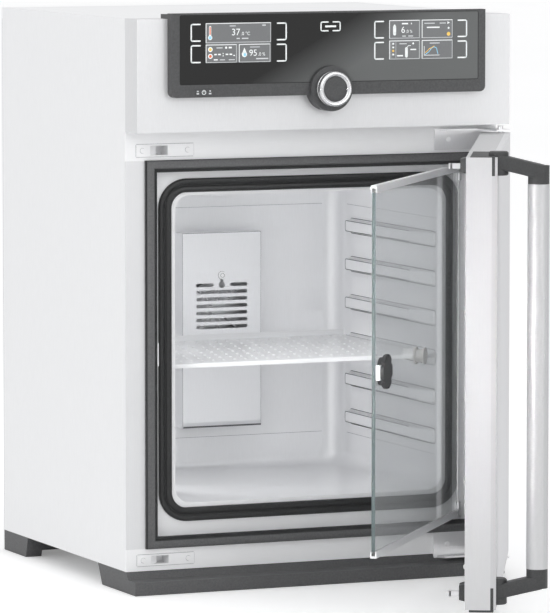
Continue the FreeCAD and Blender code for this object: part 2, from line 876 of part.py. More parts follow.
flange_x = spread(mouth, s.sheet)
flange_z = spread(mouth_z, s.sheet)
flange_sheet = padded("flange_sheet", "XZ_Plane", s.mouth_depth, flange_back, polygon=[
    (flange_x[0], flange_z[0]),
    (flange_x[1], flange_z[0]),
    (flange_x[1], flange_z[1]),
    (flange_x[0], flange_z[1]),
])
flange_hole = padded("flange_hole", "XZ_Plane", zero, flange_back + s.sheet,
                     rounded=[(chamber_x, chamber_z, s.chamber_edge_radius)])
node("chamber_flange", cut("flange_whole", flange_sheet, [flange_hole]))


def tub(name, extra, rear):
    """A box with its long edges and its upright rear corners rounded, grown by extra."""
    x = spread(chamber_x, extra)
    z = spread(chamber_z, extra)
    tunnel = padded(name + "_tunnel", "XZ_Plane", flange_back, rear,
                    rounded=[(x, z, s.chamber_edge_radius + extra)])
    depth = (-s.chamber_back, rear)
    plan = padded(name + "_plan", "XY_Plane", z[0], z[1],
                  rounded=[(x, depth, s.chamber_corner_radius + extra)])
    return common(name, tunnel, plan)


def rib(name, side, top, grow):
    """One embossed rib, a bar with bevelled edges and a sloping front end, or its hollow, smaller by grow."""
    bar = document.addObject("Part::Wedge", name)
    turn = -90 if side < 0 else 90
    bar.Placement = FreeCAD.Placement(Vector(), Rotation(Vector(0, 0, 1), turn))
    wall = rib_wall + grow
    bind(bar, "Placement.Base.x", wall * side)
    along = (s.rib_front + grow, s.rib_back - grow)
    crest = (s.rib_front + s.rib_facet, s.rib_back - s.rib_bevel)
    if side < 0:
        along = flip(along)
        crest = flip(crest)
    z = (top - s.rib_height + grow, top - grow)
    limits = {"Xmin": along[0], "Xmax": along[1], "X2min": crest[0], "X2max": crest[1]}
    limits.update({"Ymin": zero, "Ymax": s.rib_reach, "Zmin": z[0], "Zmax": z[1]})
    limits.update({"Z2min": z[0] + s.rib_bevel, "Z2max": z[1] - s.rib_bevel})
    for limit, value in limits.items():
        bind(bar, limit, value)
    return bar


SHELF_LEVEL = 2
rib_room = s.chamber_top - s.rib_headroom - s.rib_first_top
rib_count = 1 + int(rib_room.value / s.rib_pitch.value)
rib_tops = [s.rib_first_top + s.rib_pitch * level for level in range(rib_count)]
crests = []
hollows = []
for side, side_name in ((-1, "left"), (1, "right")):
    for level, rib_top in enumerate(rib_tops):
        crests.append(rib(f"rib_{side_name}_{level}", side, rib_top, zero))
        hollows.append(rib(f"rib_{side_name}_{level}_hollow", side, rib_top, s.liner_wall))

shaft_hole_radius = s.shaft_radius + s.shaft_hole_gap
liner_holes = [
    rod("liner_shaft_hole", "y", (zero, s.fan_height), shaft_hole_radius, s.chamber_back, liner_back),
    rod("liner_probe_hole", "y", (s.probe_x, s.probe_z), s.probe_radius, s.chamber_back, liner_back),
    rod("liner_gas_hole", "y", (s.gas_probe_x, s.gas_probe_z), s.gas_probe_radius,
        s.chamber_back, liner_back),
]
liner_shell = cut("liner_shell", tub("liner_outer", s.liner_wall, liner_back),
                  [tub("liner_inner", zero, s.chamber_back)])
liner_ribbed = fuse("liner_ribbed", [liner_shell] + crests)
node("chamber_liner", cut("liner_whole", liner_ribbed, hollows + liner_holes))

heater_y = (flange_back + s.heater_margin, s.chamber_back - s.heater_margin)
heater_z = spread(chamber_z, -s.heater_margin)
heater_x = spread(chamber_x, -s.heater_margin)
liner_x = spread(chamber_x, s.liner_wall)
liner_z = spread(chamber_z, s.liner_wall)
pad_left = (liner_x[0] - s.heater_thickness, liner_x[0])
node("surface_heaters", group("heater_pads", [
    box("heater_left", pad_left, heater_y, heater_z),
    box("heater_right", flip(pad_left), heater_y, heater_z),
    box("heater_low", heater_x, heater_y, (liner_z[0] - s.heater_thickness, liner_z[0])),
    box("heater_top", heater_x, heater_y, (liner_z[1], liner_z[1] + s.heater_thickness)),
]))

# The jacket is five boards of insulation round the liner.
jacket_y = (flange_back, s.jacket_back)
jacket_outer_z = (s.column_bottom, deck_z)
side_board = (-inside, jacket_x[0])
rear_board = box("jacket_rear", jacket_x, (jacket_inner_back, s.jacket_back), jacket_z)
motor_front = liner_back + s.motor_stand_off
motor_well_radius = s.motor_radius + s.fit_gap
probe_head = s.probe_radius + s.probe_head_extra
gas_head = s.gas_probe_radius + s.probe_head_extra
head_back = liner_back + s.probe_head_length
jacket_wells = [
    rod("motor_well", "y", (zero, s.fan_height), motor_well_radius, jacket_inner_back, s.jacket_back),
    rod("probe_well", "y", (s.probe_x, s.probe_z), probe_head + s.fit_gap, jacket_inner_back, s.jacket_back),
    rod("gas_well", "y", (s.gas_probe_x, s.gas_probe_z), gas_head + s.fit_gap,
        jacket_inner_back, s.jacket_back),
]
node("insulation_jacket", group("jacket_boards", [
    box("jacket_left", side_board, jacket_y, jacket_outer_z),
    box("jacket_right", flip(side_board), jacket_y, jacket_outer_z),
    box("jacket_low", jacket_x, jacket_y, (jacket_outer_z[0], jacket_z[0])),
    box("jacket_top", jacket_x, jacket_y, (jacket_z[1], jacket_outer_z[1])),
    cut("jacket_rear_whole", rear_board, jacket_wells),
]))

# ---------------------------------------------------------------- seals round the mouth

outer_seal_x = (-s.outer_seal_width / 2, s.outer_seal_width / 2)
outer_seal_z = (s.outer_seal_bottom, s.outer_seal_top)
seal_flat_x = spread(outer_seal_x, -s.outer_seal_flat)
seal_flat_z = spread(outer_seal_z, -s.outer_seal_flat)
seal_hole_x = spread(outer_seal_x, -s.outer_seal_band)
seal_hole_z = spread(outer_seal_z, -s.outer_seal_band)
seal_block = box("outer_seal_block", outer_seal_x, (-s.outer_seal_height, zero), outer_seal_z)
seal_slope = frustum("outer_seal_slope", seal_flat_x, (-s.outer_seal_height, -s.outer_seal_slope),
                     seal_flat_z, seal_hole_x, seal_hole_z)
seal_mouth = box("outer_seal_mouth", seal_hole_x, (-s.outer_seal_slope, zero), seal_hole_z)
node("outer_gasket", cut("outer_seal", seal_block, [seal_slope, seal_mouth]))

inner_seal_x = (-s.inner_seal_width / 2, s.inner_seal_width / 2)
inner_seal_z = (s.inner_seal_bottom, s.inner_seal_top)
inner_seal_y = (s.mouth_depth - s.inner_seal_height, s.mouth_depth)
node("inner_gasket", padded("inner_seal", "XZ_Plane", inner_seal_y[0], inner_seal_y[1], rounded=[
    (inner_seal_x, inner_seal_z, s.inner_seal_radius),
    (spread(inner_seal_x, -s.inner_seal_band), spread(inner_seal_z, -s.inner_seal_band),
     s.inner_seal_radius - s.inner_seal_band),
]))

# ---------------------------------------------------------------- fan, sensors and shelf

fan_x = (-s.fan_cover_width / 2, s.fan_cover_width / 2)
fan_front = s.chamber_back - s.fan_cover_depth
chin_back = fan_front + s.fan_cover_chin


def fan_hood(name, x, wall, rear):
    """The cover's side outline: an upright face over a chin that slopes back, drawn in from wall."""
    return padded(name, "YZ_Plane", x[0], x[1], polygon=[
        (fan_front + wall, s.fan_cover_top - wall),
        (fan_front + wall, s.fan_cover_face_bottom),
        (chin_back + wall, s.fan_cover_bottom + wall),
        (rear, s.fan_cover_bottom + wall),
        (rear, s.fan_cover_top - wall),
    ])


SLOT_ROWS = 6
slot_x = (-s.slot_width / 2, s.slot_width / 2)
slot_y = (fan_front, fan_front + s.fan_cover_wall)


def slot(name, x, z):
    """One air slot with round ends, as cutting tools."""
    end_radius = s.slot_height / 2
    ends = spread(x, -end_radius)
    return [
        box(name + "_middle", ends, slot_y, (z - end_radius, z + end_radius)),
        rod(name + "_left", "y", (ends[0], z), end_radius, slot_y[0], slot_y[1]),
        rod(name + "_right", "y", (ends[1], z), end_radius, slot_y[0], slot_y[1]),
    ]


openings = []
for row in range(SLOT_ROWS):
    openings += slot(f"slot_{row}", slot_x, s.slot_lowest + s.slot_pitch * row)
keyhole_z = s.slot_lowest + s.slot_pitch * SLOT_ROWS
top_slot_left = (slot_x[0], -s.slot_top_gap / 2)
openings += slot("slot_top_left", top_slot_left, keyhole_z)
openings += slot("slot_top_right", flip(top_slot_left), keyhole_z)
openings.append(rod("keyhole", "y", (zero, keyhole_z), s.keyhole_radius, slot_y[0], slot_y[1]))
neck_x = (-s.keyhole_neck / 2, s.keyhole_neck / 2)
screw_z = keyhole_z + s.keyhole_rise
openings.append(box("keyhole_slit", neck_x, slot_y, (keyhole_z, screw_z)))
openings.append(rod("keyhole_end", "y", (zero, screw_z), s.keyhole_neck / 2, slot_y[0], slot_y[1]))
intake_x = (-s.intake_width / 2, s.intake_width / 2)
intake_y = (s.chamber_back - s.sheet - s.intake_depth, s.chamber_back - s.sheet)
intake_z = (s.fan_cover_bottom, s.fan_cover_bottom + s.fan_cover_wall)
openings.append(box("fan_intake", intake_x, intake_y, intake_z))
hood = fan_hood("fan_hood", fan_x, zero, s.chamber_back)
hood_hollow = fan_hood("fan_hood_hollow", spread(fan_x, -s.fan_cover_wall), s.fan_cover_wall,
                       s.chamber_back + s.fan_cover_wall)
node("fan_cover", cut("fan_cover_whole", hood, [hood_hollow] + openings))

washer_front = fan_front - s.cover_screw_thickness
head_front = washer_front - s.cover_screw_thickness
screw_at = (zero, screw_z)
node("fan_cover_screw", fuse("cover_screw", [
    rod("cover_screw_washer", "y", screw_at, s.cover_screw_washer, washer_front, fan_front),
    rod("cover_screw_head", "y", screw_at, s.cover_screw_head, head_front, washer_front),
    rod("cover_screw_shank", "y", screw_at, s.keyhole_neck / 2 - s.fit_gap, fan_front, s.chamber_back),
]))

shaft_end = motor_front + s.shaft_engagement
motor_back = motor_front + s.motor_length
motor_body = rod("motor_body", "y", (zero, s.fan_height), s.motor_radius, motor_front, motor_back)
motor_bore = rod("motor_bore", "y", (zero, s.fan_height), s.shaft_radius + s.shaft_fit,
                 motor_front, shaft_end + s.fit_gap)
POST_COUNT = 3
posts = []
for index in range(POST_COUNT):
    angle = 2 * math.pi * index / POST_COUNT
    post_at = (s.motor_post_circle * math.cos(angle), s.fan_height + s.motor_post_circle * math.sin(angle))
    posts.append(rod(f"motor_post_{index}", "y", post_at, s.motor_post_radius, liner_back, motor_front))
node("fan_motor", cut("motor_whole", fuse("motor_and_posts", [motor_body] + posts), [motor_bore]))

fan_back = s.chamber_back - s.fan_gap
fan_y = (fan_back - s.fan_depth, fan_back)
BLADE_COUNT = 8
blades = []
for index in range(BLADE_COUNT):
    blade = box(f"blade_{index}", (zero, s.fan_radius), fan_y, (zero, s.fan_blade_thickness))
    blade.Placement = FreeCAD.Placement(Vector(), Rotation(Vector(0, 1, 0), 360 * index / BLADE_COUNT))
    bind(blade, "Placement.Base.x", zero)
    bind(blade, "Placement.Base.y", fan_y[0])
    bind(blade, "Placement.Base.z", s.fan_height)
    blades.append(blade)
hub = rod("fan_hub", "y", (zero, s.fan_height), s.fan_hub_radius, fan_y[0], fan_y[1])
fan_plate = rod("fan_plate", "y", (zero, s.fan_height), s.fan_radius, fan_y[1] - s.fan_blade_thickness, fan_y[1])
shaft = rod("fan_shaft", "y", (zero, s.fan_height), s.shaft_radius, fan_y[0], shaft_end)
node("fan_impeller", fuse("impeller", [hub, fan_plate, shaft] + blades))


def probe(name, at, radius, head_radius):
    """A sensor rod through the chamber's back wall, with its head behind the wall."""
    stem = rod(name + "_stem", "y", at, radius, s.chamber_back - s.probe_reach, liner_back)
    head = rod(name + "_head", "y", at, head_radius, liner_back, head_back)
    return fuse(name + "_whole", [stem, head])


node("temperature_sensor", probe("thermal_probe", (s.probe_x, s.probe_z), s.probe_radius, probe_head))
node("gas_and_humidity_sensor",
     probe("gas_probe", (s.gas_probe_x, s.gas_probe_z), s.gas_probe_radius, gas_head))

shelf_z = rib_tops[SHELF_LEVEL] - s.rib_bevel + s.shelf_lift
shelf_x = (-s.shelf_width / 2, s.shelf_width / 2)
shelf_front_x = (-s.shelf_front_width / 2, s.shelf_front_width / 2)
shelf_back = s.shelf_rear - s.shelf_sheet
plate_z = (shelf_z, shelf_z + s.shelf_sheet)
node("shelf", fuse("shelf_sheet_metal", [
    box("shelf_plate", shelf_x, (s.shelf_front, s.shelf_rear), plate_z),
    box("shelf_shoulders", shelf_front_x, (s.shelf_front, s.rib_front - s.fit_gap), plate_z),
    box("shelf_lip_front", shelf_front_x, (s.shelf_front, s.shelf_front + s.shelf_sheet),
        (shelf_z + s.shelf_sheet - s.shelf_lip, shelf_z)),
    box("shelf_rise", shelf_x, (shelf_back, s.shelf_rear), (shelf_z, shelf_z + s.shelf_rear_rise)),
]))

# ---------------------------------------------------------------- front cover and cockpit

cover_front = -s.cover_depth
face = cover_front - s.cockpit_depth
cover_z = (s.cover_bottom, s.casing_top)
cockpit_x = (-s.cockpit_width / 2, s.cockpit_width / 2)
cockpit_z = (s.cockpit_bottom, s.cockpit_top)
glass_x = (s.glass_left, s.glass_right)
glass_z = (s.glass_bottom, s.glass_top)
glass_back = face + s.glass_thickness
floor_back = glass_back + s.cockpit_wall
knob_at = (zero, s.knob_height)
recess_back = face - s.knob_base_rise + s.knob_recess
shaft_front = face - s.knob_base_rise - s.knob_seat_gap - s.knob_shaft_grip
shaft_back = shaft_front + s.knob_shaft_length
encoder_half = s.encoder_size / 2
encoder_z = (s.knob_height - encoder_half, s.knob_height + encoder_half)

cover_block = box("cover_block", whole_x, (cover_front, zero), cover_z)
cover_hollow = box("cover_hollow", (-inside, inside), (cover_front + s.sheet, zero),
                   (s.cover_bottom + s.sheet, top_underside))
node("front_cover", cut("cover_whole", cover_block, [cover_hollow]))

cockpit_block = padded("cockpit_block", "XZ_Plane", face, cover_front, rounded=[
    (cockpit_x, (cockpit_z[0], cockpit_z[1] + s.cockpit_radius), s.cockpit_radius),
])
cockpit_trim = box("cockpit_trim", cockpit_x, (face, cover_front),
                   (cockpit_z[1], cockpit_z[1] + s.cockpit_radius))
wrap_z = (s.casing_top, s.cockpit_wrap_top)
wrap = box("cockpit_wrap", cockpit_x, (cover_front, -s.cockpit_wrap_back), wrap_z)
knob_base = rod("knob_base", "y", knob_at, s.knob_base_radius, face - s.knob_base_rise, cover_front)
well_x = spread(glass_x, -s.cockpit_rim)
well_z = (s.board_bottom - s.fit_gap, s.board_top + s.fit_gap)
display_z = (s.display_bottom, s.display_top)
display_left_x = (-s.display_outer, -s.display_inner)
display_right_x = flip(display_left_x)
encoder_x = (-encoder_half, encoder_half)
key_x = (s.power_key_left, s.power_key_right)
key_z = (s.power_key_bottom, s.power_key_top)
key_y = (face - s.power_key_proud, face - s.power_key_proud + s.power_key_depth)
key_well_y = (face, key_y[1] + s.power_key_travel + s.fit_gap)
nose_radius = s.encoder_nose_radius
cockpit_cuts = [
    cockpit_trim,
    box("glass_recess", spread(glass_x, s.fit_gap), (face, glass_back), spread(glass_z, s.fit_gap)),
    box("cockpit_well", well_x, (floor_back, cover_front), well_z),
    box("display_window_left", display_left_x, (glass_back, floor_back), display_z),
    box("display_window_right", display_right_x, (glass_back, floor_back), display_z),
    box("encoder_well", encoder_x, (floor_back, cover_front), encoder_z),
    box("power_key_well", spread(key_x, s.fit_gap), key_well_y, spread(key_z, s.fit_gap)),
]
cockpit_plate = cut("cockpit_plate", fuse("cockpit_and_wrap", [cockpit_block, wrap]), cockpit_cuts)
knob_cuts = [
    rod("knob_recess", "y", knob_at, s.knob_radius + s.fit_gap, face - s.knob_base_rise, recess_back),
    rod("knob_nose_hole", "y", knob_at, nose_radius, recess_back, floor_back),
    box("knob_encoder_room", encoder_x, (floor_back, cover_front), encoder_z),
]
node("cockpit_frame", cut("cockpit_whole", fuse("cockpit_and_base", [cockpit_plate, knob_base]), knob_cuts))

glass_plate = box("glass_plate", glass_x, (face, glass_back), glass_z)
glass_notch = rod("glass_notch", "y", knob_at, s.knob_base_radius + s.fit_gap, face, glass_back)
node("cockpit_glass", cut("glass_whole", glass_plate, [glass_notch]))

board_y = (floor_back + s.board_gap, floor_back + s.board_gap + s.board_thickness)
display_y = (glass_back, board_y[0])
node("displays", group("display_pair", [
    box("display_left_block", display_left_x, display_y, display_z),
    box("display_right_block", display_right_x, display_y, display_z),
]))
board_x = (-s.board_width / 2, s.board_width / 2)
node("control_board", box("board_sheet", board_x, board_y, (s.board_bottom, s.board_top)))

encoder_bore = rod("encoder_bore", "y", knob_at, s.shaft_radius + s.shaft_fit, recess_back,
                   shaft_back + s.knob_recess)
encoder_body = fuse("encoder_body", [
    rod("encoder_nose", "y", knob_at, nose_radius, recess_back, floor_back),
    box("encoder_case", encoder_x, (floor_back, cover_front), encoder_z),
])
node("knob_encoder", cut("encoder_whole", encoder_body, [encoder_bore]))

knob_back = face - s.knob_base_rise
knob_front = knob_back - s.knob_length
ring_outer = rod("ring_outer", "y", knob_at, s.knob_radius, knob_front, knob_back)
ring_inner = rod("ring_inner", "y", knob_at, s.knob_cap_radius + s.knob_cap_gap, knob_front, knob_back)
node("knob_ring", cut("ring_whole", ring_outer, [ring_inner]))
cap_body = rod("cap_body", "y", knob_at, s.knob_cap_radius, knob_front, knob_back)
cap_bore = rod("cap_bore", "y", knob_at, s.shaft_radius + s.shaft_fit, shaft_front - s.fit_gap, knob_back)
node("knob_cap", cut("cap_whole", cap_body, [cap_bore]))
node("knob_shaft", rod("knob_shaft_rod", "y", knob_at, s.shaft_radius, shaft_front, shaft_back))
node("power_button", box("power_key", key_x, key_y, key_z))

# ---------------------------------------------------------------- catches and hinges on the casing


def strike(name, z, outward):
    """A catch plate with a window, a sloping tongue in it and a pocket behind the front sheet."""
    plate_x = (s.strike_left, s.strike_right)
    plate = box(name + "_plate", plate_x, (-s.strike_sheet, zero), z)
    window_x = (s.strike_window_left, s.strike_window_right)
    window_z = spread(z, -s.strike_window_rim)
    window = box(name + "_window", window_x, (-s.strike_sheet, zero), window_z)
    pocket_x = spread(window_x, s.sheet)
    pocket = box(name + "_pocket", pocket_x, (s.sheet, s.strike_pocket_depth), z)
    pocket_room = box(name + "_room", window_x, (s.sheet, s.strike_pocket_depth - s.sheet), window_z)
    collar = box(name + "_collar", window_x, (-s.strike_sheet, s.sheet), window_z)
    collar_room = box(name + "_collar_room", (s.strike_window_left + s.strike_sheet, s.strike_window_right),
                      (-s.strike_sheet, s.sheet), window_z)
    tongue = padded(name + "_tongue", "XY_Plane", window_z[0] + outward, window_z[1] - outward, polygon=[
        (s.strike_window_left, -s.strike_sheet),
        (s.strike_tongue_right, s.strike_tongue_depth - s.strike_sheet),
        (s.strike_tongue_right, s.strike_tongue_depth),
        (s.strike_window_left, zero),
    ])
    frame = cut(name + "_frame", plate, [window])
    back_box = cut(name + "_back_box", pocket, [pocket_room])
    lining = cut(name + "_lining", collar, [collar_room])
    return fuse(name + "_whole", [frame, back_box, lining, tongue])


node("strike_plates", group("strikes", [
    strike("strike_top", strike_top_z, s.fit_gap),
    strike("strike_low", strike_low_z, s.fit_gap),
]))

screw_x = (s.strike_left + s.strike_screw_inset, s.strike_right - s.strike_screw_inset)
screw_y = (-s.strike_sheet - s.plate_screw_head, -s.strike_sheet)
bracket_face = (-s.bracket_sheet, zero)
bracket_screw_y = (-s.bracket_sheet - s.plate_screw_head, -s.bracket_sheet)
bracket_top_z = (s.bracket_top_bottom, s.door_top + s.bracket_clearance + s.bracket_flange)
bracket_low_z = (s.door_bottom - s.cap_low_drop - s.bracket_clearance + s.fit_gap, s.bracket_low_top)
screws = []
for level, z in (("top", strike_top_z), ("low", strike_low_z)):
    for index, x in enumerate(screw_x):
        at = (x, (z[0] + z[1]) / 2)
        screws.append(rod(f"strike_screw_{level}_{index}", "y", at, s.plate_screw_radius,
                          screw_y[0], screw_y[1]))
for level, z in (("top", bracket_top_z), ("low", bracket_low_z)):
    at = (s.bracket_screw_x, (z[0] + z[1]) / 2)
    screws.append(rod(f"bracket_screw_{level}", "y", at, s.plate_screw_radius,
                      bracket_screw_y[0], bracket_screw_y[1]))
node("plate_screws", group("plate_screw_heads", screws))


def hinge_bracket(name, plate_z, flange_z, pin_z):
    """A plate on the front sheet with a flange that carries the door's upright pin."""
    ear_front = s.hinge_y - s.bracket_ear
    ear_left = s.hinge_x - s.bracket_ear - s.bracket_shallow
    plate = box(name + "_plate", (s.bracket_left, half), bracket_face, plate_z)
    flange = padded(name + "_flange", "XY_Plane", flange_z[0], flange_z[1], polygon=[
        (s.bracket_flange_left, -s.bracket_sheet),
        (s.bracket_flange_left + s.bracket_bevel, -s.bracket_shallow),
        (ear_left, -s.bracket_shallow),
        (s.hinge_x - s.bracket_ear, ear_front),
        (half, ear_front),
        (half, -s.bracket_sheet),
    ])
    pin = rod(name + "_pin", "z", (s.hinge_x, s.hinge_y), s.hinge_pin_radius, pin_z[0], pin_z[1])
    return fuse(name + "_whole", [plate, flange, pin])


top_flange_z = (bracket_top_z[1] - s.bracket_flange, bracket_top_z[1])
low_flange_z = (bracket_low_z[0] - s.bracket_flange, bracket_low_z[0])
node("hinge_bracket_top", hinge_bracket(
    "bracket_top", bracket_top_z, top_flange_z,
    (s.door_top - s.hinge_pin_grip, bracket_top_z[1] + s.hinge_pin_head)))
node("hinge_bracket_bottom", hinge_bracket(
    "bracket_low", (low_flange_z[0], bracket_low_z[1]), low_flange_z,
    (low_flange_z[0], s.door_bottom + s.hinge_pin_grip)))

keeper_z = (s.keeper_bottom, s.keeper_top)
keeper_x = (s.keeper_left, s.keeper_left + s.keeper_sheet)
nub_x = (keeper_x[1], keeper_x[1] + s.keeper_nub)
node("glass_keeper", fuse("keeper_whole", [
    box("keeper_plate", keeper_x, (s.keeper_front, s.mouth_depth), keeper_z),
    box("keeper_nub_strip", nub_x, (s.keeper_front, s.keeper_front + s.keeper_sheet), keeper_z),
]))

post_x = (s.glass_hinge_x - s.post_width / 2, s.glass_hinge_x + s.post_width / 2)
post_y = (s.post_front, s.mouth_depth)
glass_axis = (s.glass_hinge_x, s.glass_hinge_y)
clamp_low_z = (s.clamp_low, s.clamp_low + s.clamp_height)
clamp_top_z = (s.clamp_top - s.clamp_height, s.clamp_top)
low_foot_z = (s.glass_door_bottom - s.post_foot, s.glass_door_bottom)
top_foot_z = (s.glass_door_top, s.glass_door_top + s.post_foot)
node("glass_hinge_posts", group("posts", [
    fuse("post_low", [
        box("post_low_foot", post_x, post_y, low_foot_z),
        rod("post_low_pin", "z", glass_axis, s.post_pin_radius, low_foot_z[0],
            clamp_low_z[0] + s.post_pin_grip),
    ]),
    fuse("post_top", [
        box("post_top_foot", post_x, post_y, top_foot_z),
        rod("post_top_pin", "z", glass_axis, s.post_pin_radius, clamp_top_z[1] - s.post_pin_grip,
            top_foot_z[1]),
    ]),
]))

# ---------------------------------------------------------------- outer door, built closed

door_x = (-half, half)
door_z = (s.door_bottom, s.door_top)
inner_y = (s.door_seam, s.door_back)
skin_back = s.door_back - s.door_sheet
shell_inside = s.door_front + s.door_sheet
core_x = spread(door_x, -s.door_sheet)
core_z = spread(door_z, -s.door_sheet)
hub_at = (s.handle_x, s.handle_y)
hub_top_z = (s.handle_hub_top_low, s.handle_hub_top_high)
hub_low_z = (s.handle_hub_low_low, s.handle_hub_low_high)
hub_well_radius = s.handle_hub_radius + s.handle_hub_gap
hook_half = s.hook_thickness / 2
hook_top_z = (s.hook_top_z - hook_half, s.hook_top_z + hook_half)
hook_low_z = (s.hook_low_z - hook_half, s.hook_low_z + hook_half)
hook_slot_x = (s.hook_slot_left, s.hook_slot_right)
guide_front = s.door_back + s.guide_height
block_x = (s.hinge_x - s.door_hinge_block / 2, inside)
block_y = (s.door_seam, skin_back)
block_low_z = (core_z[0], core_z[0] + s.door_hinge_block_height)
block_top_z = (core_z[1] - s.door_hinge_block_height, core_z[1])
door_pin_hole = s.hinge_pin_radius + s.hinge_pin_fit
hinge_at = (s.hinge_x, s.hinge_y)
block_hub_x = (s.handle_x - s.handle_block_side / 2, s.handle_x + s.handle_block_side / 2)
bearing_top_z = (hub_top_z[0] - s.fit_gap - s.handle_block_height, hub_top_z[0] - s.fit_gap)
bearing_low_z = (hub_low_z[1] + s.fit_gap, hub_low_z[1] + s.fit_gap + s.handle_block_height)
bearing_y = (shell_inside, s.handle_block_back)
cap_low_z = (s.door_bottom - s.cap_low_drop, s.door_bottom)
cap_top_z = (s.door_top, s.door_top + s.cap_top_rise)


def hub_wells(name):
    """The round wells that the handle's hubs turn in, as cutting tools."""
    return [
        rod(name + "_hub_top", "z", hub_at, hub_well_radius, hub_top_z[0] - s.fit_gap,
            cap_top_z[1] + s.sheet),
        rod(name + "_hub_low", "z", hub_at, hub_well_radius, hub_low_z[0] - s.fit_gap,
            hub_low_z[1] + s.fit_gap),
    ]


def hook_slots(name, y):
    """The slots that the hooks pass through, as cutting tools."""
    return [
        box(name + "_slot_top", hook_slot_x, y, spread(hook_top_z, s.hook_slot_gap)),
        box(name + "_slot_low", hook_slot_x, y, spread(hook_low_z, s.hook_slot_gap)),
    ]


pan = box("door_pan", door_x, inner_y, door_z)
pan_hollow = box("door_pan_hollow", core_x, (s.door_seam, skin_back), core_z)
pan_shell = cut("door_pan_shell", pan, [pan_hollow])
pan_blocks = [
    box("door_block_low", block_x, block_y, block_low_z),
    box("door_block_top", block_x, block_y, block_top_z),
]
pin_holes = [
    rod("door_pin_hole_low", "z", hinge_at, door_pin_hole, s.door_bottom, block_low_z[1]),
    rod("door_pin_hole_top", "z", hinge_at, door_pin_hole, block_top_z[0], s.door_top),
]
pan_cuts = pin_holes + hook_slots("door_pan", (skin_back, s.door_back)) + hub_wells("door_pan")
node("door_inner_panel",
     cut("door_pan_whole", fuse("door_pan_and_blocks", [pan_shell] + pan_blocks), pan_cuts), door_swing)

shell_block = box("door_shell_block", door_x, (s.door_front, s.door_seam), door_z)
shell_hollow = box("door_shell_hollow", core_x, (shell_inside, s.door_seam), core_z)
shell_pan = cut("door_shell_pan", shell_block, [shell_hollow])
bearings = [
    box("bearing_top", block_hub_x, bearing_y, bearing_top_z),
    box("bearing_low", block_hub_x, bearing_y, bearing_low_z),
]
cap_edge_x = (-half, -half + s.cap_sheet)
cap_length_x = (-half, -half + s.cap_length)
cap_leg_y = (s.cap_front, s.door_seam)
cap_edge_top_z = (s.cap_leg_top, s.door_top)
cap_edge_low_z = (s.door_bottom, s.cap_leg_low)
pin_depth = s.handle_pin_length + s.fit_gap
shell_cuts = hub_wells("door_shell") + [
    box("shell_cap_room_top", cap_edge_x, cap_leg_y, cap_edge_top_z),
    box("shell_cap_room_low", cap_edge_x, cap_leg_y, cap_edge_low_z),
    box("shell_cap_room_top_run", cap_length_x, cap_leg_y, (core_z[1], s.door_top)),
    box("shell_cap_room_low_run", cap_length_x, cap_leg_y, (s.door_bottom, core_z[0])),
    rod("bearing_bore_top", "z", hub_at, s.handle_pin_radius + s.handle_pin_fit,
        bearing_top_z[1] - pin_depth, bearing_top_z[1]),
    rod("bearing_bore_low", "z", hub_at, s.handle_pin_radius + s.handle_pin_fit,
        bearing_low_z[0], bearing_low_z[0] + pin_depth),
]
node("door_outer_shell",
     cut("door_shell_whole", fuse("door_shell_and_bearings", [shell_pan] + bearings), shell_cuts), door_swing)

heater_pad_x = (-s.door_heater_width / 2, s.door_heater_width / 2)
heater_pad_y = (skin_back - s.door_heater_thickness, skin_back)
heater_pad = box("door_heater_pad", heater_pad_x, heater_pad_y, (s.door_heater_bottom, s.door_heater_top))
node("door_heater", group("door_heater_mat", [heater_pad]), door_swing)

core_y = (s.door_seam, heater_pad_y[0])
core_board = box("door_core", core_x, core_y, core_z)
hook_room_x = (-inside, s.hook_slot_right)
hook_room_y = (s.door_seam, heater_pad_y[0])
core_cuts = [
    box("core_hook_room_top", hook_room_x, hook_room_y, (bearing_top_z[0], core_z[1])),
    box("core_hook_room_low", hook_room_x, hook_room_y, (core_z[0], bearing_low_z[1])),
    box("core_block_room_low", block_x, core_y, block_low_z),
    box("core_block_room_top", block_x, core_y, block_top_z),
]
node("door_insulation", cut("door_core_whole", core_board, core_cuts), door_swing)


def corner_cap(name, run_z, leg_z, run_full_z):
    """An L of moulding over one free corner of the door: a run along the edge and a short upright leg."""
    run = box(name + "_run", cap_length_x, (s.cap_front, s.cap_depth_back), run_z)
    lip = box(name + "_lip", cap_length_x, cap_leg_y, run_full_z)
    leg = box(name + "_leg", cap_edge_x, cap_leg_y, leg_z)
    return fuse(name + "_whole", [run, lip, leg])


caps = [
    corner_cap("cap_top", cap_top_z, cap_edge_top_z, (core_z[1], s.door_top)),
    corner_cap("cap_low", cap_low_z, cap_edge_low_z, (s.door_bottom, core_z[0])),
]
node("door_corner_caps", cut("caps_whole", group("caps", caps), hub_wells("caps")), door_swing)


def hook_guide(name, z):
    """A tapering funnel on the door's inner face that the hook comes through."""
    x = (s.guide_left, s.guide_right)
    body = frustum(name + "_body", x, (s.door_back, guide_front), z,
                   spread(x, -s.guide_taper), spread(z, -s.guide_taper))
    return body


guide_top_z = (s.guide_top_bottom, s.guide_top_top)
guide_low_z = (s.guide_low_bottom, s.guide_low_top)
node("hook_guides", group("guides", [
    cut("guide_top_whole", hook_guide("guide_top", guide_top_z),
        [hook_slots("guide_top", (s.door_back, guide_front))[0]]),
    cut("guide_low_whole", hook_guide("guide_low", guide_low_z),
        [hook_slots("guide_low", (s.door_back, guide_front))[1]]),
]), door_swing)

stud_x = s.stud_inset - half
STUD_COUNT = 5
studs = []
for index in range(STUD_COUNT):
    stud_at = (stud_x, s.stud_lowest + s.stud_pitch * index)
    studs.append(taper(f"stud_{index}", "y", stud_at, (s.stud_radius, s.stud_radius / 2),
                       s.door_back, s.door_back + s.stud_height))
node("door_studs", group("studs", studs), door_swing)

# ---------------------------------------------------------------- handle of the outer door

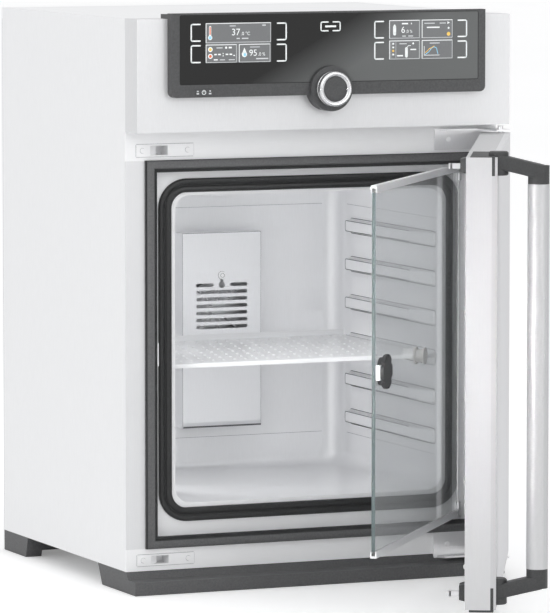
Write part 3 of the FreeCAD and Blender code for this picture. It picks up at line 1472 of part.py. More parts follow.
tube_at = (s.handle_x, s.handle_y - s.handle_reach)
slope_drop = s.handle_reach * tangent(s.handle_arm_slope)
arm_x = (s.handle_x - s.handle_arm_width / 2, s.handle_x + s.handle_arm_width / 2)


def lever(name, hub_z, arm_z, drop, elbow_z, pin_z):
    """A hub with its pivot pin, an arm that slopes towards the tube, and the elbow that holds the tube."""
    arm_start = s.handle_y - s.handle_arm_start
    arm = padded(name + "_arm", "YZ_Plane", arm_x[0], arm_x[1], polygon=[
        (arm_start, arm_z[0]),
        (arm_start, arm_z[1]),
        (tube_at[1], arm_z[1] + drop),
        (tube_at[1], arm_z[0] + drop),
    ])
    hub = rod(name + "_hub", "z", hub_at, s.handle_hub_radius, hub_z[0], hub_z[1])
    elbow = rod(name + "_elbow", "z", tube_at, s.handle_elbow_radius, elbow_z[0], elbow_z[1])
    pin = rod(name + "_pin", "z", hub_at, s.handle_pin_radius, pin_z[0], pin_z[1])
    return fuse(name + "_whole", [arm, hub, elbow, pin])


arm_top_z = (s.handle_arm_top - s.handle_arm_height, s.handle_arm_top)
arm_low_z = (s.handle_arm_low, s.handle_arm_low + s.handle_arm_height)
node("handle_levers", group("levers", [
    lever("lever_top", hub_top_z, arm_top_z, -slope_drop,
          (s.handle_tube_top, arm_top_z[1] - slope_drop),
          (hub_top_z[0] - s.handle_pin_length, hub_top_z[0])),
    lever("lever_low", hub_low_z, arm_low_z, slope_drop,
          (arm_low_z[0] + slope_drop, s.handle_tube_bottom),
          (hub_low_z[1], hub_low_z[1] + s.handle_pin_length)),
]), door_swing)
tube_z = (s.handle_tube_bottom, s.handle_tube_top)
tube_outer = rod("tube_outer", "z", tube_at, s.handle_tube_radius, tube_z[0], tube_z[1])
tube_inner = rod("tube_inner", "z", tube_at, s.handle_tube_radius - s.handle_tube_wall, tube_z[0], tube_z[1])
node("handle_tube", cut("tube_whole", tube_outer, [tube_inner]), door_swing)


def hook(name, z):
    """A bar from the hub, a stem through the door and a nose for the strike's tongue."""
    bar = box(name + "_bar", (s.handle_x, s.hook_right), (s.hook_bar_front, s.hook_bar_back), z)
    stem = box(name + "_stem", (s.hook_left, s.hook_right), (s.hook_bar_back, s.hook_tip), z)
    nose = padded(name + "_nose", "XY_Plane", z[0], z[1], polygon=[
        (s.hook_left, s.hook_tip),
        (s.hook_left - s.hook_nose, s.hook_tip - s.hook_nose),
        (s.hook_left, s.hook_tip - s.hook_nose * 2),
    ])
    hub = rod(name + "_hub_room", "z", hub_at, s.handle_hub_radius, z[0], z[1])
    return cut(name + "_whole", fuse(name + "_bent", [bar, stem, nose]), [hub])


node("handle_hooks", group("hooks", [hook("hook_top", hook_top_z), hook("hook_low", hook_low_z)]), door_swing)

# ---------------------------------------------------------------- glass door, built closed


def at_reach(reach):
    """The X of a point at a distance from the glass door's hinge axis."""
    return s.glass_hinge_x - reach


pane_y = (s.glass_hinge_y - s.pane_thickness / 2, s.glass_hinge_y + s.pane_thickness / 2)
door_end = at_reach(s.glass_door_reach)
pane_x = (door_end, at_reach(s.pane_start))
channel_x = (door_end, at_reach(s.channel_start))
channel_y = (s.glass_hinge_y - s.channel_thickness / 2, s.glass_hinge_y + s.channel_thickness / 2)
channel_low_z = (s.glass_door_bottom + s.fit_gap, s.glass_door_bottom + s.channel_height)
channel_top_z = (s.glass_door_top - s.channel_height, s.glass_door_top - s.fit_gap)
pane_z = (channel_low_z[1] - s.channel_lap, channel_top_z[0] + s.channel_lap)
latch_x = at_reach(s.latch_reach)
latch_at = (latch_x, s.latch_z)
port_at = (at_reach(s.port_reach), s.port_z)

pane_sheet = box("pane_sheet", pane_x, pane_y, pane_z)
pane_holes = [
    rod("pane_latch_hole", "y", latch_at, s.latch_spindle_radius + s.latch_hole_gap, pane_y[0], pane_y[1]),
    rod("pane_port_hole", "y", port_at, s.port_radius, pane_y[0], pane_y[1]),
]
node("glass_pane", cut("pane_whole", pane_sheet, pane_holes), glass_swing)


def channel(name, z):
    """A folded strip over one edge of the pane."""
    strip = box(name + "_strip", channel_x, channel_y, z)
    room = box(name + "_room", channel_x, pane_y, (pane_z[0], pane_z[1]))
    return cut(name + "_whole", strip, [room])


node("glass_edge_channels", group("channels", [
    channel("channel_low", channel_low_z),
    channel("channel_top", channel_top_z),
]), glass_swing)

clamp_x = (at_reach(s.clamp_grip), s.glass_hinge_x)
clamp_y = (s.glass_hinge_y - s.clamp_thickness / 2, s.glass_hinge_y + s.clamp_thickness / 2)


def clamp(name, z, bore_z):
    """A hinge block that grips the pane and turns on a post's pin."""
    block = box(name + "_block", clamp_x, clamp_y, z)
    eye = rod(name + "_eye", "z", glass_axis, s.clamp_radius, z[0], z[1])
    slot = box(name + "_slot", (clamp_x[0], pane_x[1]), pane_y, z)
    bore = rod(name + "_bore", "z", glass_axis, s.post_pin_radius + s.post_pin_fit, bore_z[0], bore_z[1])
    return cut(name + "_whole", fuse(name + "_body", [block, eye]), [slot, bore])


node("glass_clamps", group("clamps", [
    clamp("clamp_low", clamp_low_z, (clamp_low_z[0], clamp_low_z[0] + s.post_pin_grip + s.fit_gap)),
    clamp("clamp_top", clamp_top_z, (clamp_top_z[1] - s.post_pin_grip - s.fit_gap, clamp_top_z[1])),
]), glass_swing)

port_front = s.glass_hinge_y - s.port_front
port_rib_y = [pane_y[0] - s.port_rib_thickness, port_front + s.port_rib_thickness]
node("sampling_port_plug", fuse("port_plug", [
    rod("port_stem", "y", port_at, s.port_radius, port_front, pane_y[1]),
    rod("port_rib_back", "y", port_at, s.port_rib_radius, port_rib_y[0], pane_y[0]),
    rod("port_rib_front", "y", port_at, s.port_rib_radius, port_front, port_rib_y[1]),
]), glass_swing)

disc_front = s.glass_hinge_y - s.latch_disc_front
disc_back = disc_front + s.latch_disc_thickness
boss_back = s.glass_hinge_y - s.latch_boss_seat
disc = rod("latch_disc", "y", latch_at, s.latch_disc_radius, disc_front, disc_back)
boss = rod("latch_boss", "y", latch_at, s.latch_boss_radius, disc_back, boss_back)
spindle = rod("latch_spindle", "y", latch_at, s.latch_spindle_radius, boss_back, pane_y[1])
NOTCH_COUNT = 6
notches = []
for index in range(NOTCH_COUNT):
    angle = 2 * math.pi * (index + 0.5) / NOTCH_COUNT
    notch_at = (latch_x + s.latch_disc_radius * math.cos(angle), s.latch_z + s.latch_disc_radius * math.sin(angle))
    notches.append(rod(f"latch_notch_{index}", "y", notch_at, s.latch_notch / 2, disc_front, disc_back))
tongue_x = (at_reach(s.latch_tongue_reach), latch_x)
tongue_y = (s.glass_hinge_y - s.latch_tongue_front, s.glass_hinge_y - s.latch_tongue_back)
tongue_z = (s.latch_z - s.latch_tongue_height / 2, s.latch_z + s.latch_tongue_height / 2)
tongue_bar = box("latch_tongue_bar", tongue_x, tongue_y, tongue_z)
boss_room = rod("latch_boss_room", "y", latch_at, s.latch_boss_radius, tongue_y[0], tongue_y[1])
node("latch_knob", fuse("latch_knob_whole", [cut("latch_disc_notched", disc, notches), boss, spindle]),
     glass_swing)
node("latch_tongue", cut("latch_tongue_whole", tongue_bar, [boss_room]), glass_swing)

# ---------------------------------------------------------------- equipment above the chamber

supply_x = (s.supply_left, s.supply_left + s.supply_width)
supply_y = (s.supply_front, s.supply_front + s.supply_depth)
node("power_supply", box("supply_case", supply_x, supply_y, (deck_z, deck_z + s.supply_height)))

valve_x = (s.valve_left, s.valve_left + s.valve_width)
valve_y = (s.valve_front, s.valve_front + s.valve_depth)
valve_top = deck_z + s.valve_height
coil_at = (s.valve_left + s.valve_width / 2, s.valve_front + s.valve_depth / 2)
node("gas_valve", fuse("valve_whole", [
    box("valve_block", valve_x, valve_y, (deck_z, valve_top)),
    rod("valve_coil", "z", coil_at, s.valve_coil_radius, valve_top, valve_top + s.valve_coil_height),
]))

pump_x = (s.pump_x - s.pump_base / 2, s.pump_x + s.pump_base / 2)
pump_y = (s.pump_y - s.pump_base / 2, s.pump_y + s.pump_base / 2)
pump_top = deck_z + s.pump_base_height
node("humidity_pump", fuse("pump_whole", [
    box("pump_foot", pump_x, pump_y, (deck_z, pump_top)),
    rod("pump_body", "z", (s.pump_x, s.pump_y), s.pump_radius, pump_top, pump_top + s.pump_body_height),
]))

# ---------------------------------------------------------------- feet

foot_body = padded("foot_body", "YZ_Plane", -half, half, polygon=[
    (s.foot_front, zero),
    (s.foot_base_back, zero),
    (s.foot_back, s.casing_bottom),
    (s.foot_lean, s.casing_bottom),
    (s.foot_step, s.foot_step_top),
    (s.foot_front, s.foot_nose_top),
])
foot_notch = box("foot_notch", (s.bracket_left - s.fit_gap, half), (s.foot_step, zero),
                 (low_flange_z[0] - s.fit_gap, s.casing_bottom))
node("front_foot", cut("foot_whole", foot_body, [foot_notch]))

rear_body = padded("rear_foot_body", "YZ_Plane", -half, half, polygon=[
    (s.rear_foot_front, s.casing_bottom),
    (s.rear_foot_base_front, zero),
    (back, zero),
    (back, s.casing_bottom),
])
rear_gap = box("rear_foot_gap", spread(whole_x, -s.rear_foot_pad), (s.rear_foot_front, back),
               (zero, s.rear_foot_bar_bottom))
node("rear_foot", cut("rear_foot_whole", rear_body, [rear_gap]))

# ---------------------------------------------------------------- connections at the back

inlet_front = back - s.inlet_depth
inlet_case = box("inlet_case", inlet_x, (inlet_front, back), inlet_z)
inlet_flange = box("inlet_flange", spread(inlet_x, s.inlet_proud), (back, back + s.inlet_proud),
                   spread(inlet_z, s.inlet_proud))
inlet_well = box("inlet_well", spread(inlet_x, -s.inlet_wall), (back - s.inlet_well, back + s.inlet_proud),
                 spread(inlet_z, -s.inlet_wall))
PIN_PLACES = (-1, 0, 1)
inlet_mid = ((inlet_x[0] + inlet_x[1]) / 2, (inlet_z[0] + inlet_z[1]) / 2)
inlet_pins = [
    rod(f"inlet_pin_{place + 1}", "y", (inlet_mid[0] + s.inlet_pin_pitch * place, inlet_mid[1]),
        s.inlet_pin_radius, back - s.inlet_well, back)
    for place in PIN_PLACES
]
inlet_body = cut("inlet_body", fuse("inlet_block", [inlet_case, inlet_flange]), [inlet_well])
node("mains_inlet", fuse("inlet_whole", [inlet_body] + inlet_pins))


def nozzle(name, at):
    """A hose nozzle: a flange on the rear sheet, a stem, a barb and a bore through all of it."""
    tip = back + s.nozzle_length
    barb_end = tip - s.nozzle_flange
    barb_radii = (s.nozzle_radius + s.nozzle_barb, s.nozzle_radius)
    body = fuse(name + "_body", [
        rod(name + "_flange", "y", at, s.nozzle_flange_radius, back, back + s.nozzle_flange),
        rod(name + "_stem", "y", at, s.nozzle_radius, back + s.nozzle_flange, tip),
        taper(name + "_barb", "y", at, barb_radii, barb_end, tip),
    ])
    return cut(name + "_whole", body, [rod(name + "_bore", "y", at, s.nozzle_bore, back, tip)])


NOZZLES = ("carbon_dioxide", "nitrogen", "water")
node("hose_nozzles", group("nozzles", [
    nozzle(name, (s.nozzle_x + s.nozzle_pitch * index, s.nozzle_z))
    for index, name in enumerate(NOZZLES)
]))

vent_body = box("vent_body", vent_x, (back, back + s.vent_proud), vent_z)
SLAT_COUNT = 5
slat_low = s.vent_bottom + s.vent_margin
slats = []
for index in range(SLAT_COUNT):
    z = slat_low + s.vent_slot_pitch * index
    slats.append(box(f"vent_slot_{index}", vent_window_x, (back, back + s.vent_proud),
                     (z, z + s.vent_slot_height)))
node("rear_vent", cut("vent_whole", vent_body, slats))

# ---------------------------------------------------------------- recompute, check and write

document.recompute()
for thing in document.Objects:
    for state in thing.State:
        if state in ("Invalid", "Error"):
            raise RuntimeError(f"{thing.Label} is {state}")
os.makedirs("parts", exist_ok=True)
for thing in nodes:
    shape = thing.Shape
    if shape.isNull() or not shape.isValid():
        raise RuntimeError(f"{thing.Label} has no valid shape")
    if not shape.Solids:
        raise RuntimeError(f"{thing.Label} has no solid")
    shape.exportStep(f"parts/{thing.Label}.step")
    print(thing.Label, len(shape.Solids), round(shape.Volume))
print(len(nodes), "sub-parts")
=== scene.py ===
import math

import bpy
import numpy as np
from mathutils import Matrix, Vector


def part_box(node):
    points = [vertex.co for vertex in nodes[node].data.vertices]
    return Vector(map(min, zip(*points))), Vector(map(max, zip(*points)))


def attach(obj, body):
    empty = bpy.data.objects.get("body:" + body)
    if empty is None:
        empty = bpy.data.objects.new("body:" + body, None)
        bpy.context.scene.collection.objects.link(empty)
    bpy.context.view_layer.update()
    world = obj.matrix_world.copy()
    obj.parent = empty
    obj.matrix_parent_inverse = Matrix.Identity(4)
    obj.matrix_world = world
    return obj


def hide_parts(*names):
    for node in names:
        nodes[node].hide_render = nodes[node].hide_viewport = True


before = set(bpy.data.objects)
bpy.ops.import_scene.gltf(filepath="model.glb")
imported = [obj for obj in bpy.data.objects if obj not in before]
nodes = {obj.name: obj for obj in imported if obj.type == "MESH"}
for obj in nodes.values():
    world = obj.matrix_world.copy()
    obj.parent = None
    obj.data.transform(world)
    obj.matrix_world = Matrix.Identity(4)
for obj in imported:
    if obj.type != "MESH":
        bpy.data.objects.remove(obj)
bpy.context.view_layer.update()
MM = 0.001

# ---------------------------------------------------------------- materials


def new_material(name, color, roughness, metallic=0.0, specular=0.5):
    """A Principled material with its uniform values on the shader's own sockets."""
    material = bpy.data.materials.new(name)
    material.use_nodes = True
    shader = material.node_tree.nodes["Principled BSDF"]
    shader.inputs["Base Color"].default_value = (*color, 1)
    shader.inputs["Roughness"].default_value = roughness
    shader.inputs["Metallic"].default_value = metallic
    shader.inputs["Specular IOR Level"].default_value = specular
    return material


def shader_of(material):
    return material.node_tree.nodes["Principled BSDF"]


def add_node(material, kind, **values):
    """A node with its named inputs and attributes set."""
    node = material.node_tree.nodes.new(kind)
    for name, value in values.items():
        if name in node.inputs:
            node.inputs[name].default_value = value
        else:
            setattr(node, name, value)
    return node


def link(material, source, target):
    material.node_tree.links.new(source, target)


def map_range(material, value, start, end):
    """A value carried from one (low, high) range to another."""
    node = add_node(material, "ShaderNodeMapRange", **{
        "From Min": start[0], "From Max": start[1], "To Min": end[0], "To Max": end[1]})
    link(material, value, node.inputs["Value"])
    return node.outputs["Result"]


def object_noise(material, scale, detail=4.0, stretch=(1, 1, 1), roughness=0.55):
    """Noise on Object coordinates, finer along the axes whose stretch is larger."""
    place = add_node(material, "ShaderNodeTexCoord")
    mapping = add_node(material, "ShaderNodeMapping", Scale=stretch)
    noise = add_node(material, "ShaderNodeTexNoise", Scale=scale, Detail=detail, Roughness=roughness)
    link(material, place.outputs["Object"], mapping.inputs["Vector"])
    link(material, mapping.outputs["Vector"], noise.inputs["Vector"])
    return noise.outputs["Fac"]


def ramp(material, factor, low, high, start=0.35, end=0.65):
    """A colour ramp from low to high over part of a factor."""
    node = add_node(material, "ShaderNodeValToRGB")
    node.color_ramp.elements[0].position = start
    node.color_ramp.elements[1].position = end
    node.color_ramp.elements[0].color = (*low, 1)
    node.color_ramp.elements[1].color = (*high, 1)
    link(material, factor, node.inputs["Fac"])
    return node.outputs["Color"]


def vary_color(material, factor, color, amount, start=0.3, end=0.7):
    """The base colour a little darker and lighter over a factor."""
    low = tuple(max(0.0, c * (1 - amount)) for c in color)
    high = tuple(min(1.0, c * (1 + amount)) for c in color)
    link(material, ramp(material, factor, low, high, start, end), shader_of(material).inputs["Base Color"])


FACING_EDGE = (0.90, 0.97)


def painted_shade_facing(material, way, share):
    """Painted shade: the base colour times share on the faces that look along way in the object's own space."""
    facing = add_node(material, "ShaderNodeVectorMath", operation="DOT_PRODUCT")
    facing.inputs[1].default_value = way
    link(material, add_node(material, "ShaderNodeTexCoord").outputs["Normal"], facing.inputs[0])
    level = map_range(material, facing.outputs["Value"], FACING_EDGE, (1.0, share))
    scaled = add_node(material, "ShaderNodeVectorMath", operation="SCALE")
    base_color = shader_of(material).inputs["Base Color"]
    link(material, base_color.links[0].from_socket, scaled.inputs[0])
    link(material, level, scaled.inputs["Scale"])
    link(material, scaled.outputs["Vector"], base_color)


def vary_roughness(material, factor, low, high):
    link(material, map_range(material, factor, (0, 1), (low, high)), shader_of(material).inputs["Roughness"])


def add_bump(material, height, strength, distance):
    """Raise the surface by a height, on top of any bump the material already has."""
    bump = add_node(material, "ShaderNodeBump", Strength=strength, Distance=distance)
    target = shader_of(material).inputs["Normal"]
    if target.is_linked:
        link(material, target.links[0].from_socket, bump.inputs["Normal"])
    link(material, height, bump.inputs["Height"])
    link(material, bump.outputs["Normal"], target)


def brushed(name, color, stretch, roughness=0.34, metallic=0.85, depth=0.00002):
    """Satin sheet steel: long fine streaks across the stretched axes, with soft broad clouds."""
    material = new_material(name, color, roughness, metallic)
    streak = object_noise(material, 60, 3, stretch, 0.7)
    cloud = object_noise(material, 3.0, 2)
    vary_color(material, streak, color, 0.02)
    vary_roughness(material, cloud, roughness - 0.05, roughness + 0.06)
    add_bump(material, streak, 0.25, depth)
    return material


def moulded(name, color, roughness=0.55, grain=900, depth=0.00006):
    """Moulded plastic or rubber with a fine even grain and slight wear."""
    material = new_material(name, color, roughness, 0.0, 0.45)
    speck = object_noise(material, grain, 2, roughness=0.6)
    cloud = object_noise(material, 9, 3)
    vary_color(material, speck, color, 0.16)
    vary_roughness(material, cloud, roughness - 0.07, roughness + 0.07)
    add_bump(material, speck, 0.45, depth)
    return material


def glossy(name, color, roughness=0.06):
    """A hard polished surface with faint handling marks."""
    material = new_material(name, color, roughness, 0.0, 0.5)
    haze = object_noise(material, 7, 5)
    vary_color(material, haze, color, 0.2)
    vary_roughness(material, haze, roughness * 0.7, roughness * 1.5)
    return material


DOOR_OPEN = 62.4
DOOR_REACH = (-math.cos(math.radians(DOOR_OPEN)), -math.sin(math.radians(DOOR_OPEN)), 0)
DOOR_RETURN_SHADE_SHARE = 0.74
upright_sheet = brushed("upright_brushed_sheet", (0.80, 0.803, 0.812), (22, 22, 0.6), 0.46, 0.25)
level_sheet = brushed("level_brushed_sheet", (0.965, 0.967, 0.975), (0.6, 22, 22), 0.46, 0.15)
side_sheet = brushed("side_sheet", (0.90, 0.903, 0.91), (8, 8, 0.8), 0.48, 0.2, 0.000008)
chamber_sheet = brushed("chamber_sheet", (0.965, 0.968, 0.98), (14, 14, 1.0), 0.29, 0.45, 0.000003)
shelf_sheet = brushed("shelf_sheet", (0.90, 0.905, 0.915), (0.6, 12, 12), 0.32, 0.3, 0.000003)
fan_sheet = brushed("fan_cover_sheet", (0.95, 0.955, 0.97), (14, 14, 1.0), 0.36, 0.25, 0.000003)
door_edge_sheet = brushed("door_edge_sheet", (0.60, 0.602, 0.61), (22, 22, 0.6), 0.50, 0.2, 0.00001)
door_face_sheet = brushed("door_face_sheet", (0.74, 0.74, 0.755), (22, 22, 0.6), 0.45, 0.35, 0.00001)
# Painted shade: the door shell's return, which looks along DOOR_REACH, is darkened by its facing.
painted_shade_facing(door_face_sheet, DOOR_REACH, DOOR_RETURN_SHADE_SHARE)
zinc_sheet = brushed("zinc_sheet", (0.55, 0.56, 0.57), (2, 2, 2), 0.45, 0.7)
turned_steel = brushed("turned_steel", (0.82, 0.82, 0.83), (10, 10, 2), 0.28, 0.95)
satin_tube = brushed("satin_tube", (0.58, 0.583, 0.59), (4, 4, 0.5), 0.40, 0.45, 0.000002)
ring_metal = brushed("ring_metal", (0.78, 0.78, 0.79), (18, 2, 18), 0.25, 0.95)
dark_moulding = moulded("dark_moulding", (0.075, 0.076, 0.078), 0.5, 420)
foot_moulding = moulded("foot_moulding", (0.10, 0.101, 0.103), 0.5, 420)
black_moulding = moulded("black_moulding", (0.045, 0.046, 0.047), 0.45, 420)
seal_rubber = moulded("seal_rubber", (0.028, 0.0285, 0.029), 0.36, 420, 0.00002)
door_seal_rubber = moulded("door_seal_rubber", (0.115, 0.116, 0.118), 0.40, 420, 0.00002)
motor_paint = moulded("motor_paint", (0.20, 0.21, 0.22), 0.45)
pale_moulding = moulded("pale_moulding", (0.62, 0.62, 0.61), 0.5)
board_green = moulded("board_green", (0.02, 0.16, 0.06), 0.4)
mineral_board = moulded("mineral_board", (0.72, 0.70, 0.60), 0.95, 300, 0.0004)
heating_mat = moulded("heating_mat", (0.40, 0.13, 0.06), 0.7)
display_face = glossy("display_face", (0.03, 0.03, 0.035), 0.15)
slot_shadow = moulded("slot_shadow", (0.10, 0.10, 0.105), 0.6)
deep_shadow = moulded("deep_shadow", (0.010, 0.010, 0.010), 0.6)
# Painted highlight: the shelf's hole rims in a paler steel than the shelf, so that they read as bright dots.
rim_highlight = brushed("painted_highlight_hole_rims", (0.97, 0.972, 0.98), (6, 6, 6), 0.35, 0.1, 0.000002)
joint_grey = moulded("joint_grey", (0.42, 0.43, 0.44), 0.5)
glass_edge = moulded("glass_edge", (0.12, 0.155, 0.158), 0.3)


def smoked_panel():
    """Black glass, deep on its left, with a painted reflection on its right: a soft slanting sheen painted into the
    base colour.
    """
    material = new_material("panel_glass", (0.002, 0.002, 0.002), 0.07, 0.0, 0.22)
    place = add_node(material, "ShaderNodeTexCoord")
    slant = add_node(material, "ShaderNodeMapping", Rotation=(0, PAINTED_SHEEN_TILT, 0))
    split = add_node(material, "ShaderNodeSeparateXYZ")
    link(material, place.outputs["Object"], slant.inputs["Vector"])
    link(material, slant.outputs["Vector"], split.inputs["Vector"])
    painted_sheen_range = (PAINTED_SHEEN_START, PAINTED_SHEEN_START + PAINTED_SHEEN_WIDTH)
    spread = map_range(material, split.outputs["X"], painted_sheen_range, (0, 1))
    painted_sheen = ramp(material, spread, (0.002, 0.002, 0.002), (0.125, 0.13, 0.13), 0.0, 1.0)
    link(material, painted_sheen, shader_of(material).inputs["Base Color"])
    haze = object_noise(material, 7, 5)
    vary_roughness(material, haze, 0.05, 0.10)
    return material


def embossed_sheet():
    """The cover's sheet: rows of tiny pressed dots on satin steel."""
    material = brushed("embossed_sheet", (0.77, 0.773, 0.782), (10, 10, 1.5), 0.45, 0.45)
    place = add_node(material, "ShaderNodeTexCoord")
    dots = add_node(material, "ShaderNodeTexVoronoi", Scale=330.0, Randomness=0.0)
    link(material, place.outputs["Object"], dots.inputs["Vector"])
    add_bump(material, dots.outputs["Distance"], 0.5, 0.00015)
    return material


def clear_glass():
    """Float glass with a faint green tint and a thin pale veil."""
    material = new_material("clear_float_glass", (0.965, 0.985, 0.99), 0.0, 0.0)
    shader = shader_of(material)
    shader.inputs["Transmission Weight"].default_value = 0.90
    shader.inputs["IOR"].default_value = 1.46
    haze = object_noise(material, 5, 3)
    vary_roughness(material, haze, 0.0, 0.02)
    return material


# The painted reflection's slant, width and start across the cockpit glass.
PAINTED_SHEEN_TILT = math.radians(-60.8)
PAINTED_SHEEN_WIDTH = 0.06
glass_middle = sum(np.array(corner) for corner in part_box("cockpit_glass")) / 2
PAINTED_SHEEN_START = float(glass_middle[0] * math.cos(PAINTED_SHEEN_TILT) + glass_middle[2] * math.sin(PAINTED_SHEEN_TILT)) - 0.02
panel_glass = smoked_panel()
pressed_cover = embossed_sheet()
float_glass = clear_glass()

FINISHES = (
    (side_sheet, "left_side_panel right_side_panel top_cover"),
    (zinc_sheet, "rear_panel base_pan power_supply"),
    (upright_sheet, "front_columns"),
    (level_sheet, "front_strips chamber_flange fan_cover_screw strike_plates plate_screws"),
    (chamber_sheet, "chamber_liner glass_edge_channels"),
    (heating_mat, "surface_heaters door_heater"),
    (mineral_board, "insulation_jacket door_insulation"),
    (seal_rubber, "outer_gasket inner_gasket"),
    (fan_sheet, "fan_cover"),
    (motor_paint, "fan_motor gas_valve humidity_pump"),
    (turned_steel, "fan_impeller temperature_sensor knob_shaft hinge_bracket_top "
     "hinge_bracket_bottom glass_keeper glass_hinge_posts handle_hooks glass_clamps "
     "latch_tongue hose_nozzles"),
    (pale_moulding, "gas_and_humidity_sensor door_studs sampling_port_plug"),
    (shelf_sheet, "shelf"),
    (pressed_cover, "front_cover"),
    (dark_moulding, "cockpit_frame knob_encoder power_button rear_vent"),
    (panel_glass, "cockpit_glass"),
    (display_face, "displays"),
    (board_green, "control_board"),
    (ring_metal, "knob_ring"),
    (black_moulding, "knob_cap door_corner_caps hook_guides handle_levers latch_knob mains_inlet"),
    (door_edge_sheet, "door_inner_panel"),
    (door_face_sheet, "door_outer_shell"),
    (satin_tube, "handle_tube"),
    (float_glass, "glass_pane"),
    (foot_moulding, "front_foot rear_foot"),
)
for finish, names in FINISHES:
    for name in names.split():
        nodes[name].data.materials.clear()
        nodes[name].data.materials.append(finish)

# ---------------------------------------------------------------- mesh building


def make_object(name, points, faces, material, smooth=True):
    """An object at the origin from points in metres and faces as index rows."""
    mesh = bpy.data.meshes.new(name)
    mesh.from_pydata(points.tolist(), [], faces)
    mesh.materials.append(material)
    mesh.polygons.foreach_set("use_smooth", [smooth] * len(mesh.polygons))
    mesh.update()
    piece = bpy.data.objects.new(name, mesh)
    bpy.context.collection.objects.link(piece)
    return piece


def grid_faces(rows, columns, close_rows=False, close_columns=False):
    """Quads over a grid of points numbered row by row, closed round on either side."""
    last_row = rows if close_rows else rows - 1
    last_column = columns if close_columns else columns - 1
    r, c = np.meshgrid(np.arange(last_row), np.arange(last_column), indexing="ij")
    r2, c2 = (r + 1) % rows, (c + 1) % columns
    quads = np.stack([r * columns + c, r2 * columns + c, r2 * columns + c2, r * columns + c2], axis=-1)
    return quads.reshape(-1, 4)


def grid_mesh(name, grid, material, smooth=True):
    """A surface through a rows by columns array of points."""
    rows, columns = grid.shape[:2]
    return make_object(name, grid.reshape(-1, 3), grid_faces(rows, columns).tolist(), material, smooth)


def rounded_loop(half_width, low, high, radius, steps=10):
    """A rectangle with round corners, anticlockwise from its lower right, and its outward directions."""
    turn = np.linspace(0, math.pi / 2, steps)
    centres = [(half_width - radius, low + radius, -0.5), (half_width - radius, high - radius, 0.0),
               (radius - half_width, high - radius, 0.5), (radius - half_width, low + radius, 1.0)]
    points = []
    outward = []
    for x, z, start in centres:
        angle = start * math.pi + turn
        direction = np.stack([np.cos(angle), np.sin(angle)], axis=-1)
        outward.append(direction)
        points.append(np.array([x, z]) + radius * direction)
    return np.concatenate(points), np.concatenate(outward)


def loop_seal(name, loop, outward, profile, material):
    """A profile of (outward offset, Y) points carried round a loop in the X-Z plane."""
    profile = np.asarray(profile)
    places = loop[:, None, :] + outward[:, None, :] * profile[None, :, :1]
    depth = np.broadcast_to(profile[None, :, 1], places.shape[:2])
    grid = np.stack([places[..., 0], depth, places[..., 1]], axis=-1) * MM
    rows, columns = grid.shape[:2]
    faces = grid_faces(rows, columns, close_rows=True, close_columns=True)
    return make_object(name, grid.reshape(-1, 3), faces.tolist(), material)


def corners_mm(node):
    """A node's lowest and highest corner in millimetres."""
    low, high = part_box(node)
    return np.array(low) / MM, np.array(high) / MM


def turned_solid(profile, centre, steps, upright):
    """A closed solid turned about an upright axis through (X, Y) or a level one through (X, Z).

    Its profile rows are (radius, place along the axis), from the axis round to the axis or as a closed ring.
    """
    profile = np.asarray(profile, dtype=float)
    turn = np.linspace(0, 2 * math.pi, steps, endpoint=False)
    radius = np.maximum(profile[:, :1], 1e-4)
    across = centre[0] + radius * np.cos(turn)
    other = centre[1] + radius * np.sin(turn)
    along = np.broadcast_to(profile[:, 1:2], across.shape)
    columns = [across, other, along] if upright else [across, along, other]
    closed_ring = profile[0, 0] > 0 and profile[-1, 0] > 0
    faces = grid_faces(len(profile), steps, close_rows=closed_ring, close_columns=True)
    return np.stack(columns, axis=-1).reshape(-1, 3), (faces[:, ::-1] if upright else faces).tolist()


def block(x, y, z):
    """A box between its limits."""
    return extrude_x([(y[0], z[0]), (y[1], z[0]), (y[1], z[1]), (y[0], z[1])], x)


def extrude_x(outline, x):
    """A closed solid: an outline of (Y, Z) points, anticlockwise seen from +X, between two X places."""
    outline = np.asarray(outline, dtype=float)
    count = len(outline)
    ends = [np.column_stack([np.full(count, place), outline]) for place in x]
    faces = [[i, (i + 1) % count, count + (i + 1) % count, count + i] for i in range(count)]
    faces = [face[::-1] for face in faces]
    faces.append(list(range(count))[::-1])
    faces.append(list(range(count, 2 * count)))
    return np.concatenate(ends), faces


def capped_tube(rows):
    """A closed solid through stacked closed outlines, with both ends filled."""
    count, width = rows.shape[:2]
    faces = grid_faces(count, width, close_columns=True).tolist()
    faces.append(list(range(width))[::-1])
    faces.append([(count - 1) * width + index for index in range(width)])
    return rows.reshape(-1, 3), faces


def joined(name, parts, material, smooth=False):
    """One object of several (points in mm, faces) parts."""
    points = []
    faces = []
    start = 0
    for part_points, part_faces in parts:
        points.append(np.asarray(part_points))
        faces += [[index + start for index in face] for face in part_faces]
        start += len(part_points)
    return make_object(name, np.concatenate(points) * MM, faces, material, smooth)


def soften(piece, angle=35.0):
    """Smooth shading with an edge kept wherever two faces meet at more than the angle."""
    mesh = piece.data
    mesh.polygons.foreach_set("use_smooth", [True] * len(mesh.polygons))
    mesh.set_sharp_from_angle(angle=math.radians(angle))
    return piece


def place_piece(piece, body, finish, *stands_for):
    """Let a piece ride on its body and stand for CAD nodes; finish is not used."""
    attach(piece, body)
    if stands_for:
        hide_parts(*stands_for)
    return piece


